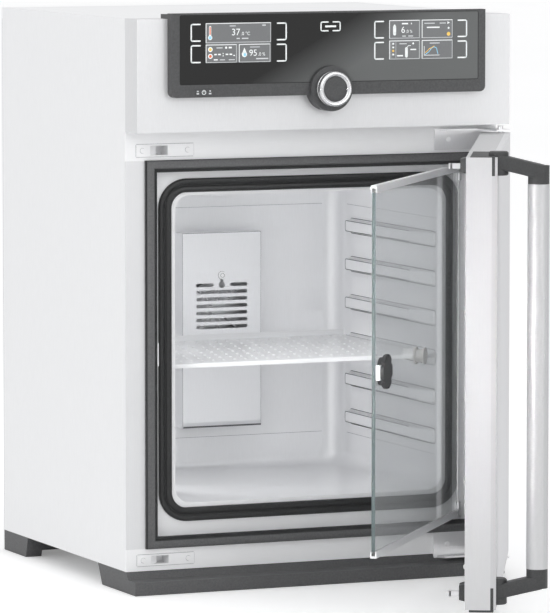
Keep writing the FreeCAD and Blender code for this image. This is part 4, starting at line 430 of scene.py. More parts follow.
def line_ring(path, outward, width, face, plane="xz", closed=True):
    """A thin ribbon that lies on a flat face: a path, and the same path moved outwards by its width."""
    offsets = np.array([0.0, width, width, 0.0])
    levels = np.array([face[0], face[0], face[1], face[1]])
    places = path[:, None, :] + outward[:, None, :] * offsets[None, :, None]
    level = np.broadcast_to(levels, places.shape[:2])
    first, second = places[..., 0], places[..., 1]
    columns = [first, level, second] if plane == "xz" else [level, first, second]
    faces = grid_faces(len(path), 4, close_rows=closed, close_columns=True).tolist()
    if not closed:
        last = 4 * (len(path) - 1)
        faces += [[3, 2, 1, 0], [last, last + 1, last + 2, last + 3]]
    flip = (face[0] < face[1]) == (plane == "xz")
    return np.stack(columns, axis=-1).reshape(-1, 3), (faces if flip else [face[::-1] for face in faces])


def turned(points, degrees, axis):
    """Points in mm turned about an upright axis through (X, Y)."""
    angle = math.radians(degrees)
    x, y = points[:, 0] - axis[0], points[:, 1] - axis[1]
    turned_x = x * math.cos(angle) - y * math.sin(angle) + axis[0]
    turned_y = x * math.sin(angle) + y * math.cos(angle) + axis[1]
    return np.column_stack([turned_x, turned_y, points[:, 2]])


# ---------------------------------------------------------------- seals


def mitred_loop(half_width, low, high):
    """The four corners of a rectangle with diagonal outward directions, so that a profile mitres."""
    corners = np.array([(half_width, low), (half_width, high), (-half_width, high), (-half_width, low)])
    directions = np.array([(1.0, -1.0), (1.0, 1.0), (-1.0, 1.0), (-1.0, -1.0)])
    return corners, directions


seal_low, seal_high = corners_mm("outer_gasket")
OUTER_SEAL_PROFILE = [
    (0.0, 0.0), (0.0, -4.6), (-1.0, -4.6), (-1.0, -6.4), (-1.5, -7.2), (-8.0, -9.7), (-9.2, -10.1), (-10.4, -9.7),
    (-11.2, -8.8), (-11.8, -7.4), (-12.6, -6.4), (-14.4, -5.8), (-15.8, -5.2), (-16.5, -4.4), (-16.5, 0.0),
]
corners, diagonals = mitred_loop(seal_high[0], seal_low[2], seal_high[2])
outer_seal = loop_seal("outer_seal_moulding", corners, diagonals, OUTER_SEAL_PROFILE, door_seal_rubber)
# Painted shade: the profile's flanks take the darker rubber, the band between them the lighter one.
outer_seal.data.materials.append(seal_rubber)
profile_row = np.arange(len(outer_seal.data.polygons)) % len(OUTER_SEAL_PROFILE)
shaded_flank = (profile_row < 3) | (profile_row > 7)
outer_seal.data.polygons.foreach_set("material_index", shaded_flank.astype(np.int32))
place_piece(soften(outer_seal, 50), "casing", "black_silicone", "outer_gasket")

seal_low, seal_high = corners_mm("inner_gasket")
INNER_SEAL_RADIUS = 41.0
INNER_SEAL_PROFILE = [
    (0.0, 16.0), (0.0, 13.2), (-0.7, 12.0), (-2.0, 11.2), (-4.0, 11.0), (-6.2, 11.2), (-8.0, 12.1),
    (-8.9, 13.2), (-9.9, 13.2), (-10.8, 12.1), (-12.6, 11.3), (-15.0, 11.0), (-17.0, 11.3), (-18.3, 12.2),
    (-19.0, 13.4), (-19.0, 16.0),
]
loop, directions = rounded_loop(seal_high[0], seal_low[2], seal_high[2], INNER_SEAL_RADIUS, 14)
inner_seal = loop_seal("inner_seal_moulding", loop, directions, INNER_SEAL_PROFILE, seal_rubber)
place_piece(soften(inner_seal, 50), "casing", "black_silicone", "inner_gasket")

# ---------------------------------------------------------------- chamber liner with its embossed ribs

liner_low, liner_high = corners_mm("chamber_liner")
LINER_WALL = 1.2
TUBE_EDGE = 22.0
REAR_CORNER = 27.0
REAR_SOFT = 12.0
chamber_half = liner_high[0] - LINER_WALL
chamber_low = liner_low[2] + LINER_WALL
chamber_high = liner_high[2] - LINER_WALL
chamber_back = liner_high[1] - LINER_WALL
chamber_front = liner_low[1]
RIB_TOPS = [200.4 + 55.7 * level for level in range(6)]
RIB_HEIGHT = 20.6
RIB_REACH = 9.0
RIB_Y = (36.0, 320.0)
RIB_BEVEL = 3.2
RIB_CORNER = 6.0
RIB_FACET = (28.0, 62.0)
LIP = 3.4
LIP_AHEAD = 1.6


def rib_reach(y, z):
    """How far the wall stands in at (Y, Z): each rib is a round-cornered bar whose edge rises to a flat crest.

    Towards the front the crest falls away over a facet, longer along the rib's top than along its bottom.
    """
    reach = np.zeros(np.broadcast(y, z).shape)
    half_length = (RIB_Y[1] - RIB_Y[0]) / 2 - RIB_CORNER
    half_height = RIB_HEIGHT / 2 - RIB_CORNER
    for top in RIB_TOPS:
        past_end = abs(y - (RIB_Y[0] + RIB_Y[1]) / 2) - half_length
        past_side = np.abs(z - top + RIB_HEIGHT / 2) - half_height
        corner = np.hypot(np.maximum(past_end, 0), np.maximum(past_side, 0))
        inset = RIB_CORNER - corner - np.minimum(np.maximum(past_end, past_side), 0)
        rise = np.clip(inset / RIB_BEVEL, 0, 1)
        facet = RIB_FACET[0] + (RIB_FACET[1] - RIB_FACET[0]) * (z - top + RIB_HEIGHT) / RIB_HEIGHT
        front = np.clip((y - RIB_Y[0]) / facet, 0, 1)
        reach = np.maximum(reach, RIB_REACH * np.minimum(rise, 0.35 + 0.65 * front))
    return reach


def wall_places():
    """Heights up a side wall, close together over each rib's bevels."""
    heights = list(np.linspace(chamber_low + TUBE_EDGE, RIB_TOPS[0] - RIB_HEIGHT - 4, 5))
    for top in RIB_TOPS:
        bottom = top - RIB_HEIGHT
        heights += list(bottom + np.array([-0.3, 0.2, 1.2, 2.2, 3.1, 3.5, 6.0]))
        heights += list(top - np.array([10.3, 6.0, 3.5, 3.1, 2.2, 1.2, 0.2, -0.3]))
    heights += list(np.linspace(RIB_TOPS[-1] + 6, chamber_high - TUBE_EDGE, 4))
    return np.array(heights)


def liner_depths():
    """Y places from front to back, close together over the ribs' round ends and the rear corners."""
    ends = np.array([-0.3, 0.2, 0.9, 1.6, 2.4, 3.2, 3.6, 4.4, 6.0, 9.0])
    front = RIB_Y[0] + np.concatenate([ends, np.linspace(14, 66, 20)])
    rear = (RIB_Y[1] - ends)[::-1]
    corner = chamber_back - REAR_CORNER + REAR_CORNER * np.sin(np.linspace(0, math.pi / 2, 10))
    return np.concatenate([[chamber_front, 27.0], front, np.linspace(115, 295, 6), rear, corner])


def liner_loop(extra):
    """The tube's outline: right wall up, top, left wall down and floor, grown outwards by extra."""
    heights = wall_places()
    turn = np.linspace(0, math.pi / 2, 8)[1:-1]
    radius = TUBE_EDGE + extra
    right_x = chamber_half + extra
    inner_x = chamber_half - TUBE_EDGE
    high = chamber_high - TUBE_EDGE
    low = chamber_low + TUBE_EDGE
    arc = np.column_stack([np.cos(turn), np.sin(turn)]) * radius
    span = np.linspace(inner_x, -inner_x, 9)
    pieces = [
        np.column_stack([np.full(len(heights), right_x), heights]),
        np.array([inner_x, high]) + arc,
        np.column_stack([span, np.full(len(span), high + radius)]),
        np.array([-inner_x, high]) + arc[::-1] * (-1, 1),
        np.column_stack([np.full(len(heights), -right_x), heights[::-1]]),
        np.array([-inner_x, low]) - arc,
        np.column_stack([span[::-1], np.full(len(span), low - radius)]),
        np.array([inner_x, low]) + arc[::-1] * (1, -1),
    ]
    return np.concatenate(pieces)


def liner_surface(extra, with_ribs):
    """Outlines stacked from front to back; the last ones draw in over the round rear corners."""
    loop = liner_loop(extra)
    depths = liner_depths()
    rows = []
    middle = (chamber_low + chamber_high) / 2
    for y in depths:
        row = loop.copy()
        past = max(0.0, y - (chamber_back - REAR_CORNER))
        draw = REAR_CORNER - math.sqrt(max(0.0, REAR_CORNER ** 2 - past ** 2))
        row[:, 0] *= (chamber_half + extra - draw) / (chamber_half + extra)
        soft = max(0.0, y - (chamber_back - REAR_SOFT))
        sink = REAR_SOFT - math.sqrt(max(0.0, REAR_SOFT ** 2 - soft ** 2))
        half_height = (chamber_high - chamber_low) / 2 + extra
        row[:, 1] = middle + (row[:, 1] - middle) * (half_height - sink) / half_height
        if with_ribs:
            on_wall = np.abs(np.abs(loop[:, 0]) - chamber_half) < 1e-6
            reach = rib_reach(y, loop[:, 1]) * on_wall
            row[:, 0] -= np.sign(loop[:, 0]) * reach
        rows.append(np.column_stack([row[:, 0], np.full(len(row), y), row[:, 1]]))
    stack = np.array(rows)
    if extra > 0:
        stack[-1:, :, 1] += extra
    return stack


inner_wall = liner_surface(0.0, True)
outer_wall = liner_surface(LINER_WALL, False)
flare = []
for angle in np.linspace(0, math.pi / 2, 7)[:-1]:
    outline = liner_loop(LIP * (1 - math.sin(angle)))
    level = chamber_front - LIP_AHEAD + (LIP + LIP_AHEAD) * (1 - math.cos(angle))
    flare.append(np.column_stack([outline[:, 0], np.full(len(outline), level), outline[:, 1]]))
inner_wall = np.concatenate([np.array(flare), inner_wall[1:]])
shell = capped_tube(np.concatenate([outer_wall[::-1], inner_wall]))
liner = joined("pressed_chamber_liner", [shell], chamber_sheet)
place_piece(soften(liner, 60), "casing", "polished_stainless", "chamber_liner")

# ---------------------------------------------------------------- perforated shelf

shelf_low, shelf_high = corners_mm("shelf")
SHELF_SHEET = 1.5
SHELF_RISE = 9.3
SHELF_LIP = 6.0
HOLE_RADIUS = 1.3
RIM_FOOT = 2.0
RIM_RISE = 1.3
HOLE_PITCH = (16.0, 34.0)
SHELF_HALF = 191.3
plate_top = shelf_high[2] - SHELF_RISE + SHELF_SHEET
plate_bottom = plate_top - SHELF_SHEET


def repeated(centres, shape_xy, shape_z, shape_faces):
    """One small shape repeated at every centre."""
    places = centres + shape_xy[None]
    heights = np.broadcast_to(shape_z, places.shape[:2])
    points = np.concatenate([places, heights[..., None]], axis=-1).reshape(-1, 3)
    starts = len(shape_xy) * np.arange(len(centres))
    return points, (shape_faces[None] + starts[:, None, None]).reshape(-1, 4).tolist()


def perforated_field(x, y, z):
    """Staggered rows of eight-sided holes with pressed-up rims, as a plate, its rims and its fillers.

    Each cell runs from its square in to the hole's edge, down through the hole and out again; the rim is a ridge
    from its foot up to the hole's edge and down to the plate. Fillers close the half cells at the rows' ends.
    """
    columns = int((x[1] - x[0]) / HOLE_PITCH[0])
    row_count = int((y[1] - y[0]) / HOLE_PITCH[1])
    pitch_x = (x[1] - x[0]) / (columns + 0.5)
    pitch_y = (y[1] - y[0]) / row_count
    square = np.array([(1, 0), (1, 1), (0, 1), (-1, 1), (-1, 0), (-1, -1), (0, -1), (1, -1)]) * 0.5
    turn = np.arange(8) * math.pi / 4
    ring = np.column_stack([np.cos(turn), np.sin(turn)])
    sheet = np.array(square) * (pitch_x, pitch_y)
    cell_xy = np.concatenate([sheet, ring * HOLE_RADIUS, ring * HOLE_RADIUS, sheet])
    cell_z = np.repeat([z[1], z[1], z[0], z[0]], 8)
    rim_xy = np.concatenate([ring * RIM_FOOT, ring * (HOLE_RADIUS + 0.3), ring * HOLE_RADIUS])
    rim_z = np.repeat([z[1], z[1] + RIM_RISE, z[1] - 0.4], 8)
    row, column = np.meshgrid(np.arange(row_count), np.arange(columns), indexing="ij")
    centre_x = x[0] + pitch_x * (column + 0.5 + 0.5 * (row % 2))
    centre_y = y[0] + pitch_y * (row + 0.5)
    centres = np.stack([centre_x, centre_y], axis=-1).reshape(-1, 1, 2)
    plate = repeated(centres, cell_xy, cell_z, grid_faces(4, 8, close_columns=True)[:, ::-1])
    rims = repeated(centres, rim_xy, rim_z, grid_faces(3, 8, close_rows=True, close_columns=True)[:, ::-1])
    fillers = []
    for number in range(row_count):
        bare = (x[0], x[0] + pitch_x * 0.5) if number % 2 else (x[1] - pitch_x * 0.5, x[1])
        fillers.append(block(bare, (y[0] + pitch_y * number, y[0] + pitch_y * (number + 1)), z))
    return plate, rims, fillers


field_x = (-SHELF_HALF + 8, SHELF_HALF - 8)
field_y = (shelf_low[1] + 12, shelf_high[1] - 12)
plate_z = (plate_bottom, plate_top)
field, hole_rims, fillers = perforated_field(field_x, field_y, plate_z)


def folded_edge(y_edge, inward, level, reach):
    """The outline of a sheet folded over at an edge: reach is how far the fold stands up or hangs down."""
    turn = np.linspace(0, math.pi / 2, 5)
    bend = 2.2
    up = 1 if reach > 0 else -1
    outer_level, inner_level = (plate_bottom, plate_top) if up > 0 else (plate_top, plate_bottom)
    centre = (y_edge + inward * bend, outer_level + up * bend)
    outer = [(centre[0] - inward * bend * math.sin(a), centre[1] - up * bend * math.cos(a)) for a in turn]
    inner_radius = bend - SHELF_SHEET
    inner = [(centre[0] - inward * inner_radius * math.sin(a), centre[1] - up * inner_radius * math.cos(a))
             for a in turn]
    tip = level + reach
    outline = [(y_edge + inward * 12, outer_level)] + outer + [(y_edge, tip)]
    outline += [(y_edge + inward * SHELF_SHEET, tip)] + inner[::-1] + [(y_edge + inward * 12, inner_level)]
    area = sum(a[0] * b[1] - b[0] * a[1] for a, b in zip(outline, outline[1:] + outline[:1]))
    return outline if area > 0 else outline[::-1]


front_outline = folded_edge(shelf_low[1], 1, plate_top, -SHELF_LIP)
rear_outline = folded_edge(shelf_high[1], -1, plate_bottom, SHELF_RISE)
shelf_parts = [field] + fillers + [
    extrude_x(front_outline, (shelf_low[0], shelf_high[0])),
    extrude_x(rear_outline, (-SHELF_HALF, SHELF_HALF)),
    block((-SHELF_HALF, field_x[0]), field_y, plate_z),
    block((field_x[1], SHELF_HALF), field_y, plate_z),
]
shelf_piece = joined("perforated_shelf", shelf_parts, shelf_sheet)
place_piece(soften(shelf_piece, 40), "sliding_shelf", "shelf_steel", "shelf")
# The hole rims carry the painted highlight.
place_piece(joined("shelf_hole_rims", [hole_rims], rim_highlight, True), "sliding_shelf", "shelf_steel")

# ---------------------------------------------------------------- knob

ring_low, ring_high = corners_mm("knob_ring")
cap_low, cap_high = corners_mm("knob_cap")
knob_x = (ring_low[0] + ring_high[0]) / 2
knob_z = (ring_low[2] + ring_high[2]) / 2
ring_radius = (ring_high[0] - ring_low[0]) / 2
cap_radius = (cap_high[0] - cap_low[0]) / 2
ring_front, ring_back = ring_low[1], ring_high[1]
RING_PROFILE = [
    (ring_radius, ring_back), (ring_radius, ring_back - 4.6), (ring_radius - 0.7, ring_back - 5.0),
    (ring_radius - 0.7, ring_back - 5.8), (ring_radius, ring_back - 6.2), (ring_radius, ring_front + 2.2),
    (ring_radius - 0.5, ring_front + 1.0), (ring_radius - 1.5, ring_front + 0.2), (ring_radius - 2.8, ring_front),
    (cap_radius + 1.6, ring_front + 0.7), (cap_radius + 0.5, ring_front + 1.5), (cap_radius + 0.1, ring_front + 2.4),
    (cap_radius + 0.1, ring_back),
]
KNOB_STEPS = 72


def knob_piece(name, profile, material, finish, node):
    """A part turned about the knob's axis, in the place of its CAD node."""
    part = turned_solid(profile, (knob_x, knob_z), KNOB_STEPS, False)
    place_piece(soften(joined(name, [part], material), 40), "knob", finish, node)


knob_piece("turned_knob_ring", RING_PROFILE, ring_metal, "knob_metal", "knob_ring")
cap_front = cap_low[1]
CAP_PROFILE = [
    (0.0, cap_high[1]), (cap_radius, cap_high[1]), (cap_radius, cap_front + 2.6), (cap_radius - 0.6, cap_front + 1.9),
    (cap_radius - 2.0, cap_front + 1.5), (cap_radius * 0.6, cap_front + 1.9), (0.0, cap_front + 2.2),
]
knob_piece("dished_knob_cap", CAP_PROFILE, dark_moulding, "dark_plastic", "knob_cap")

# ---------------------------------------------------------------- handle levers

DOOR_AXIS = (268.5, -38.0)
HUB = (-260.0, -52.0)
TUBE_Y = -104.0
HUB_RADIUS = 13.0
ELBOW_RADIUS = 14.0
ARM_DROP = 12.4
ARM_HALF = 13.0
LEVER_STEPS = 48


def lever_parts(hub_z, arm_z, tube_end):
    """A round hub, a flat arm that slopes to the tube's axis and ends in a half circle, and a round elbow.

    Along the arm the half width is constant, then follows a circle of the tube's radius about its axis.
    """
    up = 1 if tube_end < arm_z[0] else -1
    turn = np.linspace(0, math.pi / 2, 9)
    along = np.concatenate([[HUB[1], -72.0, TUBE_Y + ELBOW_RADIUS], TUBE_Y - ELBOW_RADIUS * np.sin(turn)])
    half = np.concatenate([[ARM_HALF] * 3, ELBOW_RADIUS * np.cos(turn)])
    half[-1] = 0.6
    drop = up * ARM_DROP * np.clip((HUB[1] - along) / (HUB[1] - TUBE_Y), 0, 1.15)
    rows = []
    for y, reach, fall in zip(along, half, drop):
        edge = min(2.4, reach * 0.6)
        loop, _ = rounded_loop(reach, arm_z[0] - fall, arm_z[1] - fall, edge, 4)
        rows.append(np.column_stack([HUB[0] + loop[:, 0], np.full(len(loop), y), loop[:, 1]]))
    arm = capped_tube(np.array(rows))
    low, high = hub_z
    hub_profile = [(0.0, low), (HUB_RADIUS - 1.2, low), (HUB_RADIUS, low + 1.2), (HUB_RADIUS, high - 1.8),
                   (HUB_RADIUS - 1.8, high), (0.0, high)]
    hub = turned_solid(hub_profile, HUB, LEVER_STEPS, True)
    inside = (arm_z[0] + arm_z[1]) / 2 - up * ARM_DROP
    lower, upper = sorted((tube_end, inside))
    elbow_profile = [(0.0, lower), (ELBOW_RADIUS, lower), (ELBOW_RADIUS, upper), (0.0, upper)]
    elbow = turned_solid(elbow_profile, (HUB[0], TUBE_Y), LEVER_STEPS, True)
    return arm, hub, elbow


LEVERS = (
    ((597.0, 628.0), (605.5, 624.5), 586.0),
    ((37.0, 71.0), (44.0, 63.0), 84.0),
)
levers = [part for lever in LEVERS for part in lever_parts(*lever)]
levers = [(turned(points, DOOR_OPEN, DOOR_AXIS), faces) for points, faces in levers]
lever_piece = joined("moulded_handle_levers", levers, black_moulding)
place_piece(soften(lever_piece, 40), "handle", "black_trim", "handle_levers")

# ---------------------------------------------------------------- printed marks and display pictures


def lit(name, color, strength):
    """A colour that shows under the black glass, with a little light of its own."""
    material = new_material(name, color, 0.4, 0.0)
    shader = shader_of(material)
    shader.inputs["Emission Color"].default_value = (*color, 1)
    shader.inputs["Emission Strength"].default_value = strength
    grain = object_noise(material, 700, 1)
    vary_color(material, grain, color, 0.03)
    return material


mark_white = lit("mark_white", (0.80, 0.82, 0.82), 0.25)
screen_grey = lit("screen_grey", (0.17, 0.175, 0.18), 0.06)
screen_line = lit("screen_line", (0.62, 0.64, 0.65), 0.15)
screen_red = lit("screen_red", (0.75, 0.16, 0.06), 0.2)
screen_blue = lit("screen_blue", (0.30, 0.62, 0.80), 0.2)
screen_yellow = lit("screen_yellow", (0.85, 0.55, 0.12), 0.2)

glass_low, glass_high = corners_mm("cockpit_glass")
MARK_GAP = 0.03


class Prints:
    """Flat marks in front of a face, collected by material: every point is (X, Z) in millimetres."""

    def __init__(self, face_y):
        self.face_y = face_y
        self.parts = {}

    def add(self, material, outline, layer=1):
        """One flat patch, its outline anticlockwise seen from the front; higher layers lie further out."""
        points = np.asarray(outline, dtype=float)
        depth = np.full(len(points), self.face_y - MARK_GAP * layer)
        placed = np.column_stack([points[:, 0], depth, points[:, 1]])
        self.parts.setdefault(material.name, (material, []))[1].append((placed, [list(range(len(points)))]))

    def bar(self, material, x, z, layer=2):
        self.add(material, [(x[0], z[0]), (x[1], z[0]), (x[1], z[1]), (x[0], z[1])], layer)

    def disc(self, material, x, z, radius, layer=2):
        turn = np.linspace(0, 2 * math.pi, 20, endpoint=False)
        self.add(material, np.column_stack([x + radius * np.cos(turn), z + radius * np.sin(turn)]), layer)

    def line(self, material, points, width, layer=2):
        """A line of one width with round joints."""
        points = np.asarray(points, dtype=float)
        for start, end in zip(points[:-1], points[1:]):
            along = (end - start) / np.linalg.norm(end - start)
            side = np.array([-along[1], along[0]]) * width / 2
            self.add(material, [start - side, end - side, end + side, start + side], layer)
        for x, z in points:
            self.disc(material, x, z, width / 2, layer)

    def number(self, material, text, x, z, height, layer=3):
        """Plain upright figures with their lower left at (x, z)."""
        curve = bpy.data.curves.new("figures", "FONT")
        curve.body = text
        curve.size = height * 1.42
        holder = bpy.data.objects.new("figures", curve)
        bpy.context.collection.objects.link(holder)
        bpy.context.view_layer.update()
        flat = bpy.data.meshes.new_from_object(holder)
        bpy.data.objects.remove(holder)
        points = np.array([vertex.co[:2] for vertex in flat.vertices])
        faces = [list(polygon.vertices) for polygon in flat.polygons]
        bpy.data.meshes.remove(flat)
        placed = np.column_stack([
            points[:, 0] + x, np.full(len(points), self.face_y - MARK_GAP * layer), points[:, 1] + z])
        self.parts.setdefault(material.name, (material, []))[1].append((placed, faces))

    def build(self, name, body, finish):
        for index, (material, parts) in enumerate(self.parts.values()):
            place_piece(joined(f"{name}_{index}", parts, material), body, finish)


prints = Prints(glass_low[1])


def bracket(x_spine, x_tips, z, width=1.9):
    """Three sides of a rectangle with small round corners: the spine and two short arms."""
    toward = 1 if x_tips > x_spine else -1
    turn = np.linspace(0, math.pi / 2, 5)
    radius = 2.0
    low = [(x_spine + toward * radius * (1 - math.cos(a)), z[0] + radius * (1 - math.sin(a))) for a in turn]
    high = [(x, z[0] + z[1] - level) for x, level in low]
    prints.line(mark_white, [(x_tips, z[0])] + low[::-1] + high + [(x_tips, z[1])], width)


BRACKET_ROWS = ((757.0, 779.5), (728.0, 750.7))
for spine, tips in ((-206.0, -193.0), (-66.0, -79.0), (66.7, 79.8), (206.1, 193.2)):
    for row in BRACKET_ROWS:
        bracket(spine, tips, row)
MENU_ROW = (768.0, 780.0)
bracket(-14.0, -3.5, MENU_ROW, 1.7)
bracket(14.6, 4.0, MENU_ROW, 1.7)
prints.bar(mark_white, (-8.0, 8.6), (772.8, 775.2))

DISPLAY_Z = (727.0, 781.0)
DISPLAY_LEFT = (-184.8, -88.4)
DISPLAY_RIGHT = (88.4, 184.8)


def tile(x, z):
    """An outlined field of a display, its outline fainter on the right."""
    prints.line(mark_white, [(x[1], z[1]), (x[0], z[1]), (x[0], z[0])], 1.0)
    prints.line(screen_line, [(x[0], z[0]), (x[1], z[0]), (x[1], z[1])], 0.7)


for display in (DISPLAY_LEFT, DISPLAY_RIGHT):
    prints.bar(screen_grey, display, DISPLAY_Z, 1)

# Left display: a temperature over a timer and a humidity. Right display: a gas, a mode, an alarm and a graph.
MID_X = (134.2, 138.4)
TILES = (
    ((-184.2, -89.0), (754.6, 780.4)), ((-184.2, -139.6), (727.6, 751.4)), ((-135.4, -90.0), (727.6, 751.4)),
    ((89.0, MID_X[0]), (756.2, 780.4)), ((MID_X[1], 184.2), (756.2, 780.4)),
    ((89.0, MID_X[0]), (727.6, 752.4)), ((MID_X[1], 184.2), (727.6, 752.4)),
)
for x, z in TILES:
    tile(x, z)

PRINTED_LINES = (
    (mark_white, 3.2, 2, ((-178.3, 775.6), (-178.3, 761.5))), (screen_red, 1.7, 3, ((-178.3, 775.0), (-178.3, 766.0))),
    (screen_blue, 1.0, 2, ((143.6, 733.2), (148.6, 736.6), (152.6, 741.4), (156.4, 743.6), (160.2, 741.8),
                           (162.4, 733.8))),
    (screen_yellow, 1.0, 3, ((143.2, 735.6), (145.8, 737.4), (149.0, 740.8), (153.2, 742.4), (156.6, 744.4))),
    (mark_white, 4.6, 2, ((96.6, 762.2), (96.6, 771.5))), (mark_white, 4.2, 2, ((114.6, 731.4), (114.6, 741.6))),
    (mark_white, 0.9, 2, ((114.6, 742.0), (117.4, 745.6), (121.0, 745.8))),
    (screen_line, 0.5, 2, ((91.0, 751.0), (91.0, 729.0))), (screen_line, 0.5, 2, ((98.6, 751.0), (98.6, 729.0))),
    (mark_white, 0.7, 2, ((141.6, 744.4), (141.6, 732.0), (164.6, 732.0))),
)
for material, width, layer, points in PRINTED_LINES:
    prints.line(material, points, width, layer)

PRINTED_DISCS = (
    (mark_white, 2, ((-178.3, 761.2, 3.2), (-178.0, 745.2, 3.4), (-178.0, 736.0, 3.4), (-154.8, 747.4, 1.6),
                     (-159.2, 736.4, 0.8), (-159.2, 739.6, 0.8), (-127.8, 738.0, 3.9), (96.6, 773.6, 1.5),
                     (178.6, 769.2, 1.5), (124.8, 748.6, 1.4))),
    (screen_blue, 3, ((-178.3, 761.2, 2.2), (-127.2, 737.4, 2.2))), (screen_yellow, 3, ((-178.0, 745.2, 2.1),)),
    (screen_red, 3, ((-178.0, 736.0, 2.1),)), (screen_yellow, 2, ((178.6, 761.0, 2.7),)),
)
for material, layer, discs in PRINTED_DISCS:
    for x, z, radius in discs:
        prints.disc(material, x, z, radius, layer)

PRINTED_BARS = (
    (mark_white, ((-151.0, -146.4, 746.4, 748.6), (-172.4, -168.5, 737.4, 739.3), (-166.6, -162.7, 737.4, 739.3),
                  (-155.6, -151.7, 737.4, 739.3), (-149.8, -145.9, 737.4, 739.3), (-144.2, -141.8, 736.0, 737.4),
                  (-173.0, -167.0, 730.4, 732.0), (107.6, 117.0, 775.0, 777.0), (121.4, 122.8, 775.0, 777.0),
                  (145.4, 165.0, 769.4, 771.2), (93.2, 96.0, 747.4, 749.8), (93.2, 96.0, 742.4, 744.8),
                  (93.2, 96.0, 732.6, 735.0), (120.6, 129.4, 739.4, 741.2), (100.6, 109.4, 731.0, 733.0))),
    (screen_line, ((-149.5, -140.5, 776.2, 777.4), (-101.5, -96.2, 776.4, 778.0), (-139.4, -134.6, 758.9, 760.4),
                   (-131.6, -122.0, 758.9, 760.4), (-169.0, -160.0, 746.6, 748.0), (-164.0, -156.5, 730.4, 731.6),
                   (-151.0, -142.0, 730.4, 731.6), (-119.5, -105.0, 747.2, 748.2), (-110.5, -92.6, 731.0, 732.6),
                   (108.2, 113.6, 758.2, 759.6), (117.4, 124.6, 758.2, 759.6), (141.8, 157.6, 775.4, 776.6),
                   (165.0, 174.4, 775.4, 776.6), (104.0, 115.0, 747.8, 749.0), (150.0, 165.0, 748.0, 749.2))),
    (screen_yellow, ((93.2, 96.0, 737.4, 740.2),)),
)
for material, bars in PRINTED_BARS:
    for left, right, low, high in bars:
        prints.bar(material, (left, right), (low, high))

prints.add(mark_white, [(-131.2, 739.9), (-124.4, 739.9), (-127.8, 747.2)], 2)
prints.add(mark_white, [(176.8, 774.6), (180.6, 776.4), (176.8, 778.2)], 2)
FIGURES = (
    ("37", -147.0, 764.0, 9.2), (".0 °C", -133.0, 764.0, 4.6), ("95", -121.0, 735.8, 8.6),
    (".0 %", -107.6, 735.8, 4.4), ("6", 106.4, 763.4, 8.8), (".0 %", 113.6, 763.4, 4.2),
)
for figure in FIGURES:
    prints.number(mark_white, *figure)
prints.build("cockpit_marks", "casing", "display_panel")

key_low, key_high = corners_mm("power_button")
key_prints = Prints(key_low[1])
key_middle = (key_low[2] + key_high[2]) / 2
ARROW_X = -196.6
RING_X = -187.6
DOT_X = -178.6
key_prints.add(screen_line, [(ARROW_X - 1.8, key_middle + 0.9), (ARROW_X + 1.8, key_middle + 0.9),
                             (ARROW_X, key_middle + 2.8)])
key_prints.bar(screen_line, (ARROW_X - 1.8, ARROW_X + 1.8), (key_middle - 2.6, key_middle - 0.6))
turn = np.radians(np.linspace(120, 420, 16))
key_prints.line(mark_white, np.column_stack([RING_X + 2.7 * np.cos(turn), key_middle + 2.7 * np.sin(turn)]), 1.0)
key_prints.line(mark_white, [(RING_X, key_middle + 0.5), (RING_X, key_middle + 3.4)], 1.0)
key_prints.disc(screen_line, DOT_X, key_middle + 1.9, 1.1)
key_prints.bar(screen_line, (DOT_X - 1.9, DOT_X + 1.9), (key_middle - 2.6, key_middle - 0.6))
key_prints.build("power_key_marks", "power_key", "black_trim")

# ---------------------------------------------------------------- ground edge, seams and edge lines

pane_low, pane_high = corners_mm("glass_pane")
GLASS_AXIS = (225.2, 8.1)
GLASS_OPEN = 50.6
PANE_REACH = 457.0
PANE_HALF = 2.5
edge_x = GLASS_AXIS[0] - PANE_REACH
points, faces = block((edge_x - 0.25, edge_x - 0.02), (GLASS_AXIS[1] - PANE_HALF, GLASS_AXIS[1] + PANE_HALF),
                      (pane_low[2] + 6.0, pane_high[2] - 6.0))
edge_part = (turned(points, GLASS_OPEN, GLASS_AXIS), faces)
place_piece(joined("ground_glass_edge", [edge_part], glass_edge), "glass_door", "clear_glass")

# Joints that show as thin lines, and painted shade: dark lines along the ribs' edges and crests and round the fan
# cover's edges.
fine_lines = []
shade_line_parts = []
SEAM_LEVELS = (499.0, 165.0)
SEAM_HALF = 0.3
SEAM_X = (-170.0, 172.0)
SEAM_START = 40.0
CREST_START = 105.0
for level in SEAM_LEVELS:
    seam_z = (level - SEAM_HALF, level + SEAM_HALF)
    fine_lines.append(block(SEAM_X, (chamber_back - 0.05, chamber_back - 0.01), seam_z))
    for wall in (-1, 1):
        inner_face = sorted((wall * (chamber_half - 0.05), wall * (chamber_half - 0.01)))
        fine_lines.append(block(inner_face, (SEAM_START, chamber_back - REAR_CORNER), seam_z))

